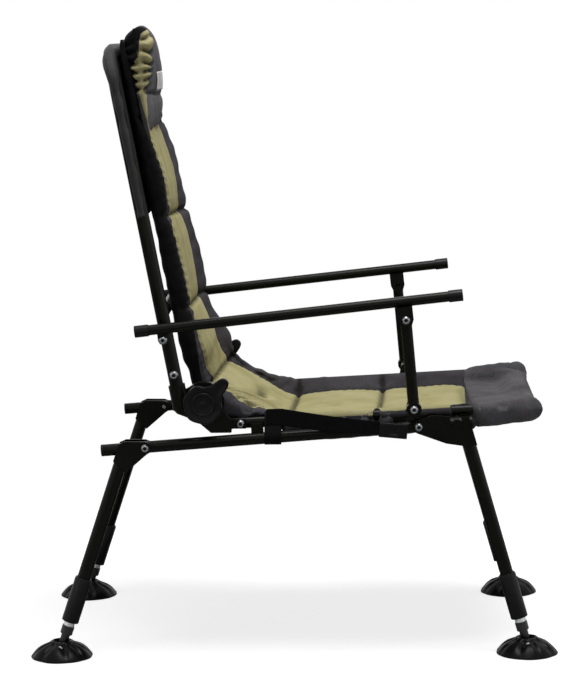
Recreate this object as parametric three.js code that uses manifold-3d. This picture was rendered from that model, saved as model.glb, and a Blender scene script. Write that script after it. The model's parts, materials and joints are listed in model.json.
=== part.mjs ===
// Reclining carp fishing chair on four folding, telescopic legs.
// Millimetres, +Z up, the chair faces +X, the origin is on the floor midway between the four feet.
import * as THREE from 'three';
import Module from 'manifold-3d';
import { mergeVertices } from 'three/addons/utils/BufferGeometryUtils.js';

const wasm = await Module();
wasm.setup();

// Clearances and overruns
const GAP = 0.35;
const WELD = 0.4;
const OVERRUN = 4;
const RUNNING_GAP = 0.3;
const BOLT_CLEARANCE = 0.6;

// Facets
const TUBE_SIDES = 16;
const BOLT_SIDES = 8;
const BEND_STEPS = 4;

// Lower rails, measured along the rail from the rear leg bolt
const RAIL_RADIUS = 11;
const TUBE_WALL = 1.5;
const RAIL_Y = 248;
const RAIL_SLOPE = 3.9;
const RAIL_REAR_OVERHANG = 76;
const RAIL_FRONT_OVERHANG = 99;
const LEG_BOLT_SPACING = 506;
const REAR_BOLT_HEIGHT = 395.5;
const CAP_FLANGE = 6;
const CAP_PLUG = 14;

// Stop boss at the front of each rail, which the notch of the front bracket closes on
const STOP_BOSS_RADIUS = 9;
const STOP_BOSS_FROM_BOLT = 71;

// Legs: the axis of each leg tube is offset from its bracket bolt
const LEG_RADIUS = 12.5;
const LEG_BORE_RADIUS = 10.3;
const INNER_RADIUS = 10;
const REAR_LEG_OFFSET = 35;
const FRONT_LEG_OFFSET = 80.4;
const REAR_LEG_SPLAY = 18.7;
const FRONT_LEG_SPLAY = 15.75;
const CHEEK_THICKNESS = 2.6;
const LEG_BOLT_RADIUS = 4;
const CHEEK_SHARES = { top: 2.2, crest: 3, crestAlong: 0.8, foot: 2.2 };
const SLEEVE_RADIUS = 16;
const SLEEVE_LENGTH = 87;
const SLEEVE_LIP = 3;
const INNER_ENGAGED = 150;

// Height of the leg parts above the foot pin, along the leg
const FOOT_PIN_HEIGHT = 19;
const COLLAR_RADIUS = 11.5;
const COLLAR_BOTTOM = 26;
const COLLAR_TOP = 42;
const SLEEVE_BOTTOM = 51;
const NECK_RADIUS = 8;

// Mud feet
const FOOT_RADIUS = 58.5;
const FOOT_RIM = 4;
const FOOT_CROWN_HEIGHT = 31;
const FOOT_CROWN_RADIUS = 20;
const FOOT_PIN_RADIUS = 3;
const FOOT_PIN_LENGTH = 44;
const FOOT_TILT = 12;
const FOOT_SHARES = {
  edge: { radius: 0.8, rims: 2.2 },
  slope: { radius: 0.58, height: 0.55 },
  crown: { height: 0.85 },
};

// Upper seat frame
const SEAT_TUBE_RADIUS = 11;
const SEAT_TUBE_Y = 221;
const SEAT_SLOPE = 2.6;
const SEAT_DATUM_X = -86.5;
const SEAT_DATUM_HEIGHT = 435.8;
const SEAT_FRONT = 529;
const SEAT_REAR = 48;
const SEAT_CORNER = 55;

// Joining blocks between a rail and the seat tube above it
const JOINT_BLOCK_LENGTH = 22;
const JOINT_BLOCK_PLACES = [23, 286];

// Recliner
const PIVOT_X = -160;
const PIVOT_HEIGHT = 479.4;
const RECLINER_RADIUS = 38;
const BASE_THICKNESS = 13.6;
const BASE_LUG_THICKNESS = 6;
const BASE_BOTTOM = 59;
const BASE_LUG_END = 76;
const BASE_BOLT_X = 66;
const BASE_SHARES = { rear: 0.3, front: 1.3, toe: 1.35, throat: 1.15, throatHeight: 1.6, lug: 0.8 };
const AXLE_NUT_SHARE = 1.3;
const LEVER_ROOT_SHARE = 1.5;
const SOCKET_DISC_THICKNESS = 8;
const SOCKET_SLEEVE_RADIUS = 14.6;
const SOCKET_SLEEVE_WIDTH = 15.5;
const SOCKET_TOP = 43;
const SOCKET_BOTTOM = -4;
const AXLE_RADIUS = 5;

// Clamp knob
const KNOB_HUB_RADIUS = 19.4;
const KNOB_RECESS_RADIUS = 13.7;
const KNOB_RECESS_DEPTH = 6;
const KNOB_SKIRT_RADIUS = 37;
const KNOB_SKIRT_THICKNESS = 5.5;
const KNOB_HEIGHT = 14;
const KNOB_SKIRT_START = -62;
const KNOB_SKIRT_END = 152;
const KNOB_LEVER_ANGLE = 45;
const KNOB_LEVER_REACH = 52;
const KNOB_LEVER_RADIUS = 10;

// Back frame, in the frame of the recliner pivot
const BACK_RADIUS = 12.5;
const BACK_LEAN = 10.3;
const BACK_TUBE_X = -42.5;
const BACK_TUBE_Y = 261;
const BACK_TOP = 650;
const BACK_FOOT = 4;
const BACK_CORNER = 70;
const BACK_CROSS_HEIGHT = 175;
const SOCKET_BOLT_HEIGHT = 62;

// Arms, in the frame of the arm's rear pivot
const ARM_RADIUS = 9.5;
const ARM_WALL = 1.2;
const ARM_Y = 300;
const ARM_RISE = 5.86;
const ARM_PIVOT_X = -47;
const ARM_PIVOT_HEIGHT = 132.3;
const ARM_AXIS_ABOVE_PIVOT = 21;
const ARM_REAR_OVERHANG = 47;
const ARM_FRONT_BOLT_X = 442.4;
const ARM_FRONT_BOLT_DROP = 33.1;
const ARM_LENGTH = 594;
const ARM_TAB_THICKNESS = 4;
const ARM_TAB_RADIUS = 9;
const ARM_BUSH_RADIUS = 8;
const ARM_CHEEK_THICKNESS = 2.5;
const ARM_CHEEK_HALF_WIDTH = 14;
const ARM_CAP_LENGTH = 23;
const ARM_CAP_WALL = 1.1;

// Posts
const POST_RADIUS = 10.5;
const POST_TOP_ABOVE_BOLT = 4;
const POST_FOOT_X = 225;
const POST_FOOT_HEIGHT = 470;
const POST_EYE_RADIUS = 14;
const STUB_RADIUS = 9;
const STUB_TAB_THICKNESS = 4;
const STUB_TAB_HALF_WIDTH = 15;

// Bolts: dome heads on a washer face
const BOLT_HEAD_RADIUS = 7;
const BOLT_HEAD_HEIGHT = 4.5;

// Padding
const CLOTH = 1.6;
const PAD_CROWN = 9;
const PAD_ROWS = 20;
const PAD_COLUMNS = 12;
const SEAT_PAD_THICKNESS = 26;
const SEAT_PAD_REAR = 72;
const SEAT_SEAMS = [96.5, 249.5, 406.5];
const SEAT_EDGE_TOP = 8;
const SEAT_EDGE_THICKNESS = 14;
const SEAT_SAG = 24;
const SLEEVE_END = 268;
const BEND_THICKNESS = 22;
const BEND_SHARES = { seatPull: 0.52, backPull: 0.42, bulge: 0.36 };
const BEND_HALF_WIDTH = 205;
const BEND_WRINKLE = 2.2;
const BEND_WRINKLES = 5;
const BACK_PAD_THICKNESS = 26;
const BACK_PAD_HALF_WIDTH = 244;
const BACK_PAD_BOTTOM = 78;
const BACK_PAD_TOP = 676;
const BACK_SEAMS = [78, 174.5, 351, 488];
const SIDE_DRAW_IN = 4;
const PILLOW_HALF_WIDTH = 225;
const PILLOW_BOTTOM = 500;
const PILLOW_TOP = 686;
const PILLOW_THICKNESS = 38;
const PILLOW_EDGE = 12;
const POCKET_REAR = 412;
const POCKET_WALL = 2.6;
const POCKET_BELOW = 20;
const POCKET_SIDE_START = 442;
const HOOD_WALL = 2;
const HOOD_LENGTH = 302;
const STRAP_THICKNESS = 2;
const STRAP_EASE = 1.2;
const STRAP_WIDTH = 34;
const STRAP_REAR_X = -51;
const BAND_TOP = 24;
const BAND_END = 206;
const BAND_END_HALF = 13;
const BUCKLE_LENGTH = 44;
const BUCKLE_THICKNESS = 9;
const BUCKLE_HALF = 15;

// Finishes
const finishes = {
  frame: new THREE.MeshStandardMaterial({ color: 0x23241f, roughness: 0.35, metalness: 0.3 }),
  plastic: new THREE.MeshStandardMaterial({ color: 0x17181a, roughness: 0.55 }),
  zinc: new THREE.MeshStandardMaterial({ color: 0xc4c5c6, roughness: 0.3, metalness: 0.9 }),
  rubber: new THREE.MeshStandardMaterial({ color: 0x1c1b1c, roughness: 0.8 }),
  charcoal: new THREE.MeshStandardMaterial({ color: 0x46444a, roughness: 0.9 }),
  olive: new THREE.MeshStandardMaterial({ color: 0xa8a56a, roughness: 0.9 }),
  webbing: new THREE.MeshStandardMaterial({ color: 0x1b1b1d, roughness: 0.85 }),
};

const chair = new THREE.Group();
const radians = THREE.MathUtils.degToRad;
const sides = [{ word: 'right', y: -1 }, { word: 'left', y: 1 }];

// Closed position-only geometry as a solid, with its faces turned out
function solid(geometry) {
  const bare = geometry.index ? geometry.toNonIndexed() : geometry.clone();
  for (const key of Object.keys(bare.attributes)) {
    if (key !== 'position') bare.deleteAttribute(key);
  }
  const merged = mergeVertices(bare, 1e-4);
  const position = merged.attributes.position;
  const index = Array.from(merged.index.array);
  const corner = [new THREE.Vector3(), new THREE.Vector3(), new THREE.Vector3()];
  let volume = 0;
  const kept = [];
  for (let i = 0; i < index.length; i += 3) {
    const ids = index.slice(i, i + 3);
    if (ids[0] === ids[1] || ids[1] === ids[2] || ids[2] === ids[0]) continue;
    ids.forEach((id, k) => corner[k].fromBufferAttribute(position, id));
    volume += corner[0].dot(corner[1].clone().cross(corner[2]));
    kept.push(ids);
  }
  const turned = volume < 0 ? kept.map(([a, b, c]) => [a, c, b]) : kept;
  return new wasm.Manifold(new wasm.Mesh({
    numProp: 3,
    vertProperties: new Float32Array(position.array),
    triVerts: new Uint32Array(turned.flat()),
  }));
}

function geometryOf(body) {
  const { vertProperties, triVerts, numProp } = body.getMesh();
  const position = new Float32Array((vertProperties.length / numProp) * 3);
  for (let i = 0; i < position.length / 3; i += 1) {
    for (let k = 0; k < 3; k += 1) position[i * 3 + k] = vertProperties[i * numProp + k];
  }
  const geometry = new THREE.BufferGeometry();
  geometry.setAttribute('position', new THREE.BufferAttribute(position, 3));
  geometry.setIndex(new THREE.BufferAttribute(new Uint32Array(triVerts), 1));
  geometry.computeVertexNormals();
  return geometry;
}

const join = (first, ...rest) => rest.reduce((all, next) => all.add(next), first);
const cut = (first, ...rest) => rest.reduce((left, next) => left.subtract(next), first);

function piece(parent, name, body, finish) {
  const mesh = new THREE.Mesh(geometryOf(body), finishes[finish].clone());
  mesh.name = name;
  parent.add(mesh);
}

// A group whose X and Z axes are turned up about the Y axis
function place(x, y, z, turnUp = 0) {
  const group = new THREE.Group();
  group.position.set(x, y, z);
  group.rotation.y = -radians(turnUp);
  chair.add(group);
  return group;
}

const at = (x, y, z) => new THREE.Vector3(x, y, z);

function rod(start, end, radius, facets = TUBE_SIDES) {
  const run = end.clone().sub(start);
  const geometry = new THREE.CylinderGeometry(radius, radius, run.length(), facets);
  geometry.rotateY(Math.PI / facets);
  const turn = new THREE.Quaternion().setFromUnitVectors(at(0, 1, 0), run.clone().normalize());
  geometry.applyQuaternion(turn);
  geometry.translate(...start.clone().add(end).multiplyScalar(1 / 2).toArray());
  return solid(geometry);
}

// A rod across the chair, from one y to another
const crossRod = (x, z, yFrom, yTo, radius, facets = TUBE_SIDES) =>
  rod(at(x, yFrom, z), at(x, yTo, z), radius, facets);

function box(low, high) {
  const size = high.clone().sub(low);
  const geometry = new THREE.BoxGeometry(size.x, size.y, size.z);
  geometry.translate(...low.clone().add(high).multiplyScalar(1 / 2).toArray());
  return solid(geometry);
}

// A flat plate: an outline in X and Z, given thickness between two y values
function plate(outline, yFrom, yTo) {
  const low = Math.min(yFrom, yTo);
  const depth = Math.abs(yTo - yFrom);
  const geometry = new THREE.ExtrudeGeometry(outline, {
    depth, bevelEnabled: false, curveSegments: BEND_STEPS,
  });
  geometry.rotateX(Math.PI / 2);
  geometry.translate(0, low + depth, 0);
  return solid(geometry);
}

function outlineOf(points) {
  return new THREE.Shape(points.map(([x, z]) => new THREE.Vector2(x, z)));
}

// Points on an arc, in degrees, anticlockwise seen with X right and Z up
function arc(x, z, radius, from, to, steps = BEND_STEPS) {
  return Array.from({ length: steps + 1 }, (_, i) => {
    const angle = radians(from + ((to - from) * i) / steps);
    return [x + radius * Math.cos(angle), z + radius * Math.sin(angle)];
  });
}

// A path through given stations, mitred at each
class Stations extends THREE.Curve {
  constructor(points) {
    super();
    this.points = points;
  }

  getPoint(t) {
    const place = t * (this.points.length - 1);
    const i = Math.min(Math.floor(place), this.points.length - 2);
    return this.points[i].clone().lerp(this.points[i + 1], place - i);
  }

  getPointAt(u) {
    return this.getPoint(u);
  }

  getTangentAt(u) {
    return this.getTangent(u);
  }
}

function sweep(points, radius, facets = TUBE_SIDES) {
  const path = new Stations(points);
  path.getSpacedPoints = () => points.map((point) => point.clone());
  const section = new THREE.Shape(
    Array.from({ length: facets }, (_, i) => {
      const angle = (2 * Math.PI * (i + 1 / 2)) / facets;
      return new THREE.Vector2(radius * Math.cos(angle), radius * Math.sin(angle));
    }),
  );
  return solid(new THREE.ExtrudeGeometry(section, {
    steps: points.length - 1, bevelEnabled: false, extrudePath: path,
  }));
}

// Stations of a bend of 90 degrees from one direction to another
function bend(centre, from, to, radius) {
  return Array.from({ length: BEND_STEPS + 1 }, (_, i) => {
    const angle = (Math.PI / 2) * (i / BEND_STEPS);
    return centre.clone()
      .addScaledVector(from, radius * Math.cos(angle))
      .addScaledVector(to, radius * Math.sin(angle));
  });
}

// A turned part: radius and height pairs about the Z axis
function turned(profile, facets = TUBE_SIDES) {
  const geometry = new THREE.LatheGeometry(profile.map(([r, z]) => new THREE.Vector2(r, z)), facets);
  geometry.rotateX(Math.PI / 2);
  return solid(geometry);
}

const ring = (outer, inner, low, high, facets = TUBE_SIDES) =>
  turned([[inner, low], [outer, low], [outer, high], [inner, high], [inner, low]], facets);

const moved = (body, x, y, z) => body.translate([x, y, z]);

// A domed bolt head on the outer side of a face, its shank reaching inwards
function bolt(x, z, faceY, outward, shank, radius = LEG_BOLT_RADIUS) {
  const edge = BOLT_HEAD_HEIGHT / 2;
  const head = turned([
    [0, 0], [BOLT_HEAD_RADIUS, 0], [BOLT_HEAD_RADIUS, edge],
    [BOLT_HEAD_RADIUS * Math.cos(Math.PI / 4), BOLT_HEAD_HEIGHT], [0, BOLT_HEAD_HEIGHT],
  ], BOLT_SIDES);
  const upright = head.rotate([outward > 0 ? -90 : 90, 0, 0]);
  const seated = moved(upright, x, faceY + outward * GAP, z);
  return join(seated, crossRod(x, z, faceY + outward * (GAP + edge), faceY - outward * shank,
    radius, BOLT_SIDES));
}

// A closed pad across the chair. The lower and upper faces give X and Z for a share of the way
// along the pad, 0 to 1, and a place across it, -1 to 1.
function pad({ rows, columns, halfWidth, lower, upper }) {
  const vertices = [];
  const faces = [];
  const id = (layer, i, j) => (layer * (rows + 1) + i) * (columns + 1) + j;
  for (const face of [lower, upper]) {
    for (let i = 0; i <= rows; i += 1) {
      for (let j = 0; j <= columns; j += 1) {
        const across = (2 * j) / columns - 1;
        const [x, z] = face(i / rows, across);
        vertices.push(x, across * halfWidth(i / rows), z);
      }
    }
  }
  const quad = (...corners) => {
    const [first, second, third, fourth] = corners;
    faces.push(first, second, third, first, third, fourth);
  };
  for (let i = 0; i < rows; i += 1) {
    for (let j = 0; j < columns; j += 1) {
      quad(id(1, i, j), id(1, i + 1, j), id(1, i + 1, j + 1), id(1, i, j + 1));
      quad(id(0, i, j), id(0, i, j + 1), id(0, i + 1, j + 1), id(0, i + 1, j));
    }
    quad(id(0, i, 0), id(0, i + 1, 0), id(1, i + 1, 0), id(1, i, 0));
    quad(id(0, i + 1, columns), id(0, i, columns), id(1, i, columns), id(1, i + 1, columns));
  }
  for (let j = 0; j < columns; j += 1) {
    quad(id(0, 0, j + 1), id(0, 0, j), id(1, 0, j), id(1, 0, j + 1));
    quad(id(0, rows, j), id(0, rows, j + 1), id(1, rows, j + 1), id(1, rows, j));
  }
  const geometry = new THREE.BufferGeometry();
  geometry.setAttribute('position', new THREE.Float32BufferAttribute(vertices, 3));
  geometry.setIndex(faces);
  return solid(geometry);
}

const between = (low, high, share) => low + (high - low) * share;

// Height of the quilting at a place along a pad with sewn seams, and across it
function quilting(place, seams, across) {
  const last = seams.findIndex((seam, i) => i > 0 && place <= seam + 1 / TUBE_SIDES);
  const panel = last < 1 ? seams.length - 1 : last;
  const share = (place - seams[panel - 1]) / (seams[panel] - seams[panel - 1]);
  return PAD_CROWN * crown(Math.min(1, Math.max(0, share))) * (1 - across ** 8);
}

// Crown of one quilted panel, 1 in its middle and 0 along its sewn edges
const crown = (share) => Math.sqrt(Math.max(0, 1 - (2 * share - 1) ** 2));

// Where the feet and bolts lie
const splay = { rear: radians(REAR_LEG_SPLAY), front: radians(FRONT_LEG_SPLAY) };
const railSlope = radians(RAIL_SLOPE);
const frontBoltHeight = REAR_BOLT_HEIGHT + LEG_BOLT_SPACING * Math.sin(railSlope);

// Distance from a leg's bolt down its axis to the foot pin, for a foot that stands on the floor
function legReach(boltHeight, offset, angle) {
  return (boltHeight + offset * Math.sin(angle) - FOOT_PIN_HEIGHT) / Math.cos(angle);
}
const rearReach = legReach(REAR_BOLT_HEIGHT, REAR_LEG_OFFSET, splay.rear);
const frontReach = legReach(frontBoltHeight, FRONT_LEG_OFFSET, splay.front);
const rearFootBehind = REAR_LEG_OFFSET * Math.cos(splay.rear) + rearReach * Math.sin(splay.rear);
const frontFootAhead = FRONT_LEG_OFFSET * Math.cos(splay.front) + frontReach * Math.sin(splay.front);
const boltRun = LEG_BOLT_SPACING * Math.cos(railSlope);
const rearBoltX = rearFootBehind - (rearFootBehind + boltRun + frontFootAhead) / 2;
const frontBoltX = rearBoltX + boltRun;

// Seat frame: upper tubes as one ring, with the post stubs and the blocks that meet the rails
const seat = place(SEAT_DATUM_X, 0, SEAT_DATUM_HEIGHT, SEAT_SLOPE);

// A world point in the seat frame's own X and Z
function inSeat(x, z) {
  const turn = radians(SEAT_SLOPE);
  const dx = x - SEAT_DATUM_X;
  const dz = z - SEAT_DATUM_HEIGHT;
  return [dx * Math.cos(turn) + dz * Math.sin(turn), dz * Math.cos(turn) - dx * Math.sin(turn)];
}

// A rail's axis in the seat frame
const railStart = inSeat(
  rearBoltX - RAIL_REAR_OVERHANG * Math.cos(railSlope),
  REAR_BOLT_HEIGHT - RAIL_REAR_OVERHANG * Math.sin(railSlope),
);
const railEnd = inSeat(
  frontBoltX + RAIL_FRONT_OVERHANG * Math.cos(railSlope),
  frontBoltHeight + RAIL_FRONT_OVERHANG * Math.sin(railSlope),
);
const railHeightAt = (x) =>
  railStart[1] + ((x - railStart[0]) * (railEnd[1] - railStart[1])) / (railEnd[0] - railStart[0]);

function seatFrame() {
  const front = SEAT_FRONT - SEAT_CORNER;
  const side = SEAT_TUBE_Y - SEAT_CORNER;
  const left = bend(at(front, side, 0), at(0, 1, 0), at(1, 0, 0), SEAT_CORNER);
  const right = bend(at(front, -side, 0), at(1, 0, 0), at(0, -1, 0), SEAT_CORNER);
  const path = (rear) => [
    at(rear, SEAT_TUBE_Y, 0), ...left, ...right, at(rear, -SEAT_TUBE_Y, 0),
  ];
  const hoop = cut(sweep(path(-SEAT_REAR), SEAT_TUBE_RADIUS),
    sweep(path(-SEAT_REAR - OVERRUN), SEAT_TUBE_RADIUS - TUBE_WALL));
  const crossEnd = SEAT_TUBE_Y - SEAT_TUBE_RADIUS + TUBE_WALL / 2;
  const cross = crossRod(-SEAT_REAR + SEAT_TUBE_RADIUS, 0, -crossEnd, crossEnd,
    SEAT_TUBE_RADIUS - TUBE_WALL);
  let body = join(hoop, cross);
  const [stubX, stubZ] = inSeat(POST_FOOT_X, POST_FOOT_HEIGHT);
  const tabInner = SEAT_TUBE_Y + SEAT_TUBE_RADIUS - STUB_TAB_THICKNESS + WELD;
  const stubEnd = ARM_Y - POST_RADIUS - GAP;
  for (const { y } of sides) {
    const tab = plate(outlineOf([
      [stubX - STUB_TAB_HALF_WIDTH, 0], [stubX + STUB_TAB_HALF_WIDTH, 0],
      ...arc(stubX, stubZ, STUB_RADIUS + STUB_TAB_THICKNESS / 2, 0, 180),
    ]), y * tabInner, y * (tabInner + STUB_TAB_THICKNESS));
    const stub = crossRod(stubX, stubZ, y * (tabInner + STUB_TAB_THICKNESS / 2), y * stubEnd,
      STUB_RADIUS);
    body = join(body, tab, stub);
    for (const x of JOINT_BLOCK_PLACES) {
      const block = box(
        at(x - JOINT_BLOCK_LENGTH / 2, SEAT_TUBE_Y, railHeightAt(x)),
        at(x + JOINT_BLOCK_LENGTH / 2, RAIL_Y + WELD, 0),
      );
      body = join(body, y > 0 ? block : block.mirror([0, 1, 0]));
    }
    body = cut(body,
      rod(at(railStart[0], y * RAIL_Y, railStart[1]), at(railEnd[0], y * RAIL_Y, railEnd[1]),
        RAIL_RADIUS + GAP),
      crossRod(stubX, stubZ, y * (stubEnd + OVERRUN), y * (tabInner + STUB_TAB_THICKNESS),
        LEG_BOLT_RADIUS + BOLT_CLEARANCE, BOLT_SIDES),
      crossRod(PIVOT_X + BASE_BOLT_X - SEAT_DATUM_X, 0, y * (SEAT_TUBE_Y - SEAT_TUBE_RADIUS),
        y * (SEAT_TUBE_Y + SEAT_TUBE_RADIUS + OVERRUN), LEG_BOLT_RADIUS + BOLT_CLEARANCE, BOLT_SIDES));
  }
  piece(seat, 'seat_frame', body, 'frame');
}

// Rails with their end caps and stop bosses
function rails() {
  for (const { word, y } of sides) {
    const rail = place(rearBoltX, y * RAIL_Y, REAR_BOLT_HEIGHT, RAIL_SLOPE);
    const end = LEG_BOLT_SPACING + RAIL_FRONT_OVERHANG;
    const reach = RAIL_RADIUS + OVERRUN;
    const bossX = LEG_BOLT_SPACING + STOP_BOSS_FROM_BOLT;
    const bossHalf = LEG_RADIUS + CHEEK_THICKNESS;
    const tube = cut(
      join(
        rod(at(-RAIL_REAR_OVERHANG, 0, 0), at(end, 0, 0), RAIL_RADIUS),
        crossRod(bossX, 0, -bossHalf, bossHalf, STOP_BOSS_RADIUS),
      ),
      rod(at(-RAIL_REAR_OVERHANG - OVERRUN, 0, 0), at(bossX - STOP_BOSS_RADIUS, 0, 0),
        RAIL_RADIUS - TUBE_WALL),
      crossRod(0, 0, -reach, reach, LEG_BOLT_RADIUS + BOLT_CLEARANCE, BOLT_SIDES),
      crossRod(LEG_BOLT_SPACING, 0, -reach, reach, LEG_BOLT_RADIUS + BOLT_CLEARANCE, BOLT_SIDES),
    );
    piece(rail, `rail_${word}`, tube, 'frame');
    const capEnd = -RAIL_REAR_OVERHANG - GAP;
    const cap = join(
      rod(at(capEnd - CAP_FLANGE, 0, 0), at(capEnd, 0, 0), RAIL_RADIUS),
      rod(at(capEnd - WELD, 0, 0), at(capEnd + CAP_PLUG, 0, 0), RAIL_RADIUS - TUBE_WALL - GAP),
    );
    piece(rail, `rail_cap_${word}`, cap, 'plastic');
  }
}

// Leg units
function leg(end, side) {
  const rear = end === 'rear';
  const { word, y } = side;
  const out = rear ? -1 : 1;
  const offset = rear ? REAR_LEG_OFFSET : FRONT_LEG_OFFSET;
  const angle = rear ? REAR_LEG_SPLAY : FRONT_LEG_SPLAY;
  const reach = rear ? rearReach : frontReach;
  const group = place(rear ? rearBoltX : frontBoltX, y * RAIL_Y,
    rear ? REAR_BOLT_HEIGHT : frontBoltHeight, out * angle);
  const axisX = out * offset;
  const name = (what) => `${end}_${what}_${word}`;
  const up = (t) => t - reach;
  const nose = RAIL_RADIUS + CHEEK_THICKNESS / 2;
  const inner = LEG_RADIUS - WELD;
  const outer = inner + CHEEK_THICKNESS;
  const railAngle = RAIL_SLOPE - out * angle;
  const railSlope = Math.tan(radians(railAngle));
  const underRail = (x) => x * railSlope
    - (RAIL_RADIUS + RUNNING_GAP) / Math.cos(radians(railAngle));

  // Two cheeks astride the rail, welded to the leg tube, which is mitred under the rail
  const edgeX = axisX + out * (LEG_RADIUS + CHEEK_THICKNESS / 2);
  const innerX = axisX - out * LEG_RADIUS;
  const lowest = underRail(axisX) - LEG_RADIUS * CHEEK_SHARES.foot;
  const cheekTop = underRail(edgeX) + RAIL_RADIUS * CHEEK_SHARES.top;
  const cheekCrest = underRail(edgeX) + RAIL_RADIUS * CHEEK_SHARES.crest;
  const outline = rear ? [
    [edgeX, cheekTop], [edgeX * CHEEK_SHARES.crestAlong, cheekCrest],
    ...arc(0, 0, nose, 110, -60), [innerX + CHEEK_THICKNESS, lowest],
    [innerX, lowest], [edgeX, lowest + LEG_RADIUS],
  ] : [
    [edgeX, cheekTop], [edgeX, lowest - LEG_RADIUS / 2],
    [innerX, lowest], [axisX / 2, lowest + LEG_RADIUS],
    ...arc(0, 0, nose, 250, 80), [offset / 3, nose + CHEEK_THICKNESS],
  ];
  const ordered = THREE.ShapeUtils.isClockWise(outline.map(([x, z]) => new THREE.Vector2(x, z)))
    ? outline.slice().reverse() : outline;
  const cheek = (sideY) => plate(outlineOf(ordered), sideY * inner, sideY * outer);
  const far = Math.max(offset, reach);
  const rimX = axisX + out * far;
  const overRail = plate(outlineOf([
    [-rimX, underRail(-rimX)], [rimX, underRail(rimX)], [rimX, far], [-rimX, far],
  ]), -inner - OVERRUN, inner + OVERRUN);
  const tube = cut(rod(at(axisX, 0, up(SLEEVE_BOTTOM + SLEEVE_LIP)), at(axisX, 0, 0), LEG_RADIUS),
    overRail);
  let body = join(tube, cheek(1), cheek(-1));
  const notchX = STOP_BOSS_FROM_BOLT * Math.cos(radians(railAngle));
  const notchZ = STOP_BOSS_FROM_BOLT * Math.sin(radians(railAngle));
  if (!rear) {
    const notch = STOP_BOSS_RADIUS + RUNNING_GAP * 3;
    body = cut(body, plate(outlineOf([
      ...arc(notchX, notchZ, notch, 180, 360), [notchX + notch, notchZ + far],
      [notchX - notch, notchZ + far],
    ]), -outer - OVERRUN, outer + OVERRUN));
  }
  body = cut(body,
    rod(at(axisX, 0, up(SLEEVE_BOTTOM - OVERRUN)), at(axisX, 0, OVERRUN), LEG_BORE_RADIUS),
    crossRod(0, 0, -outer - OVERRUN, outer + OVERRUN, LEG_BOLT_RADIUS + BOLT_CLEARANCE, BOLT_SIDES));
  piece(group, name('leg_tube'), body, 'frame');

  piece(group, name('leg_bolt'), bolt(0, 0, y * outer, y, 2 * outer + CHEEK_THICKNESS), 'zinc');

  const sleeve = turned([
    [LEG_BORE_RADIUS, SLEEVE_BOTTOM], [SLEEVE_RADIUS, SLEEVE_BOTTOM],
    [SLEEVE_RADIUS, SLEEVE_BOTTOM + SLEEVE_LENGTH - SLEEVE_LIP],
    [SLEEVE_RADIUS - SLEEVE_LIP / 2, SLEEVE_BOTTOM + SLEEVE_LENGTH],
    [LEG_RADIUS + GAP, SLEEVE_BOTTOM + SLEEVE_LENGTH],
    [LEG_RADIUS + GAP, SLEEVE_BOTTOM + SLEEVE_LIP - GAP],
    [LEG_BORE_RADIUS, SLEEVE_BOTTOM + SLEEVE_LIP - GAP], [LEG_BORE_RADIUS, SLEEVE_BOTTOM],
  ]);
  piece(group, name('lock_sleeve'), moved(sleeve, axisX, 0, -reach), 'plastic');

  // Inner leg: tube, collar, neck and cross pin in one, turned about the leg's axis
  const stem = turned([
    [0, -NECK_RADIUS], [NECK_RADIUS * Math.sin(Math.PI / 4), -NECK_RADIUS * Math.cos(Math.PI / 4)],
    [NECK_RADIUS, 0], [NECK_RADIUS, COLLAR_BOTTOM], [COLLAR_RADIUS, COLLAR_BOTTOM],
    [COLLAR_RADIUS, COLLAR_TOP], [INNER_RADIUS, COLLAR_TOP],
    [INNER_RADIUS, COLLAR_TOP + INNER_ENGAGED], [0, COLLAR_TOP + INNER_ENGAGED],
  ]);
  const pin = crossRod(0, 0, -FOOT_PIN_LENGTH / 2, FOOT_PIN_LENGTH / 2, FOOT_PIN_RADIUS, BOLT_SIDES);
  piece(group, name('inner_leg'), moved(join(stem, pin), axisX, 0, -reach), 'zinc');

  // Mud foot, upright on the floor below its pin
  const foot = new THREE.Group();
  foot.position.set(axisX, 0, -reach);
  foot.rotation.y = radians(out * angle);
  group.add(foot);
  const sole = -FOOT_PIN_HEIGHT;
  const { edge, slope, crown: crest } = FOOT_SHARES;
  const dome = turned([
    [0, sole], [FOOT_RADIUS, sole], [FOOT_RADIUS, sole + FOOT_RIM],
    [FOOT_RADIUS * edge.radius, sole + FOOT_RIM * edge.rims],
    [FOOT_RADIUS * slope.radius, sole + FOOT_CROWN_HEIGHT * slope.height],
    [FOOT_CROWN_RADIUS + FOOT_RIM, sole + FOOT_CROWN_HEIGHT * crest.height],
    [FOOT_CROWN_RADIUS, sole + FOOT_CROWN_HEIGHT], [0, sole + FOOT_CROWN_HEIGHT],
  ], TUBE_SIDES + 8);
  const seatRadius = NECK_RADIUS + RUNNING_GAP * 3;
  const top = FOOT_CROWN_HEIGHT;
  const lean = (degrees) => top * Math.tan(radians(degrees));
  const steepest = angle + FOOT_TILT;
  const wide = seatRadius / Math.cos(radians(steepest)) + RUNNING_GAP;
  const slot = plate(outlineOf([
    ...arc(0, 0, seatRadius, 180, 360 - steepest, 2 * BEND_STEPS),
    [wide + lean(steepest), top], [-wide + lean(angle - FOOT_TILT), top], [-wide, 0],
  ].map(([x, z]) => [-out * x, z])), -seatRadius, seatRadius);
  piece(foot, name('foot'), cut(dome, slot, crossRod(0, 0, -FOOT_RADIUS, FOOT_RADIUS,
    FOOT_PIN_RADIUS + BOLT_CLEARANCE, BOLT_SIDES)), 'rubber');
}

// Recliner: base bracket on the seat tube, socket on the back tube, axle and clamp knob
const baseInner = SEAT_TUBE_Y + SEAT_TUBE_RADIUS + GAP;
const baseOuter = baseInner + BASE_THICKNESS;
const socketInner = baseOuter + GAP;
const socketOuter = socketInner + SOCKET_DISC_THICKNESS;
const knobSkirtInner = BACK_TUBE_Y + SOCKET_SLEEVE_RADIUS + GAP;
const knobOuter = knobSkirtInner + KNOB_HEIGHT;

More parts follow.
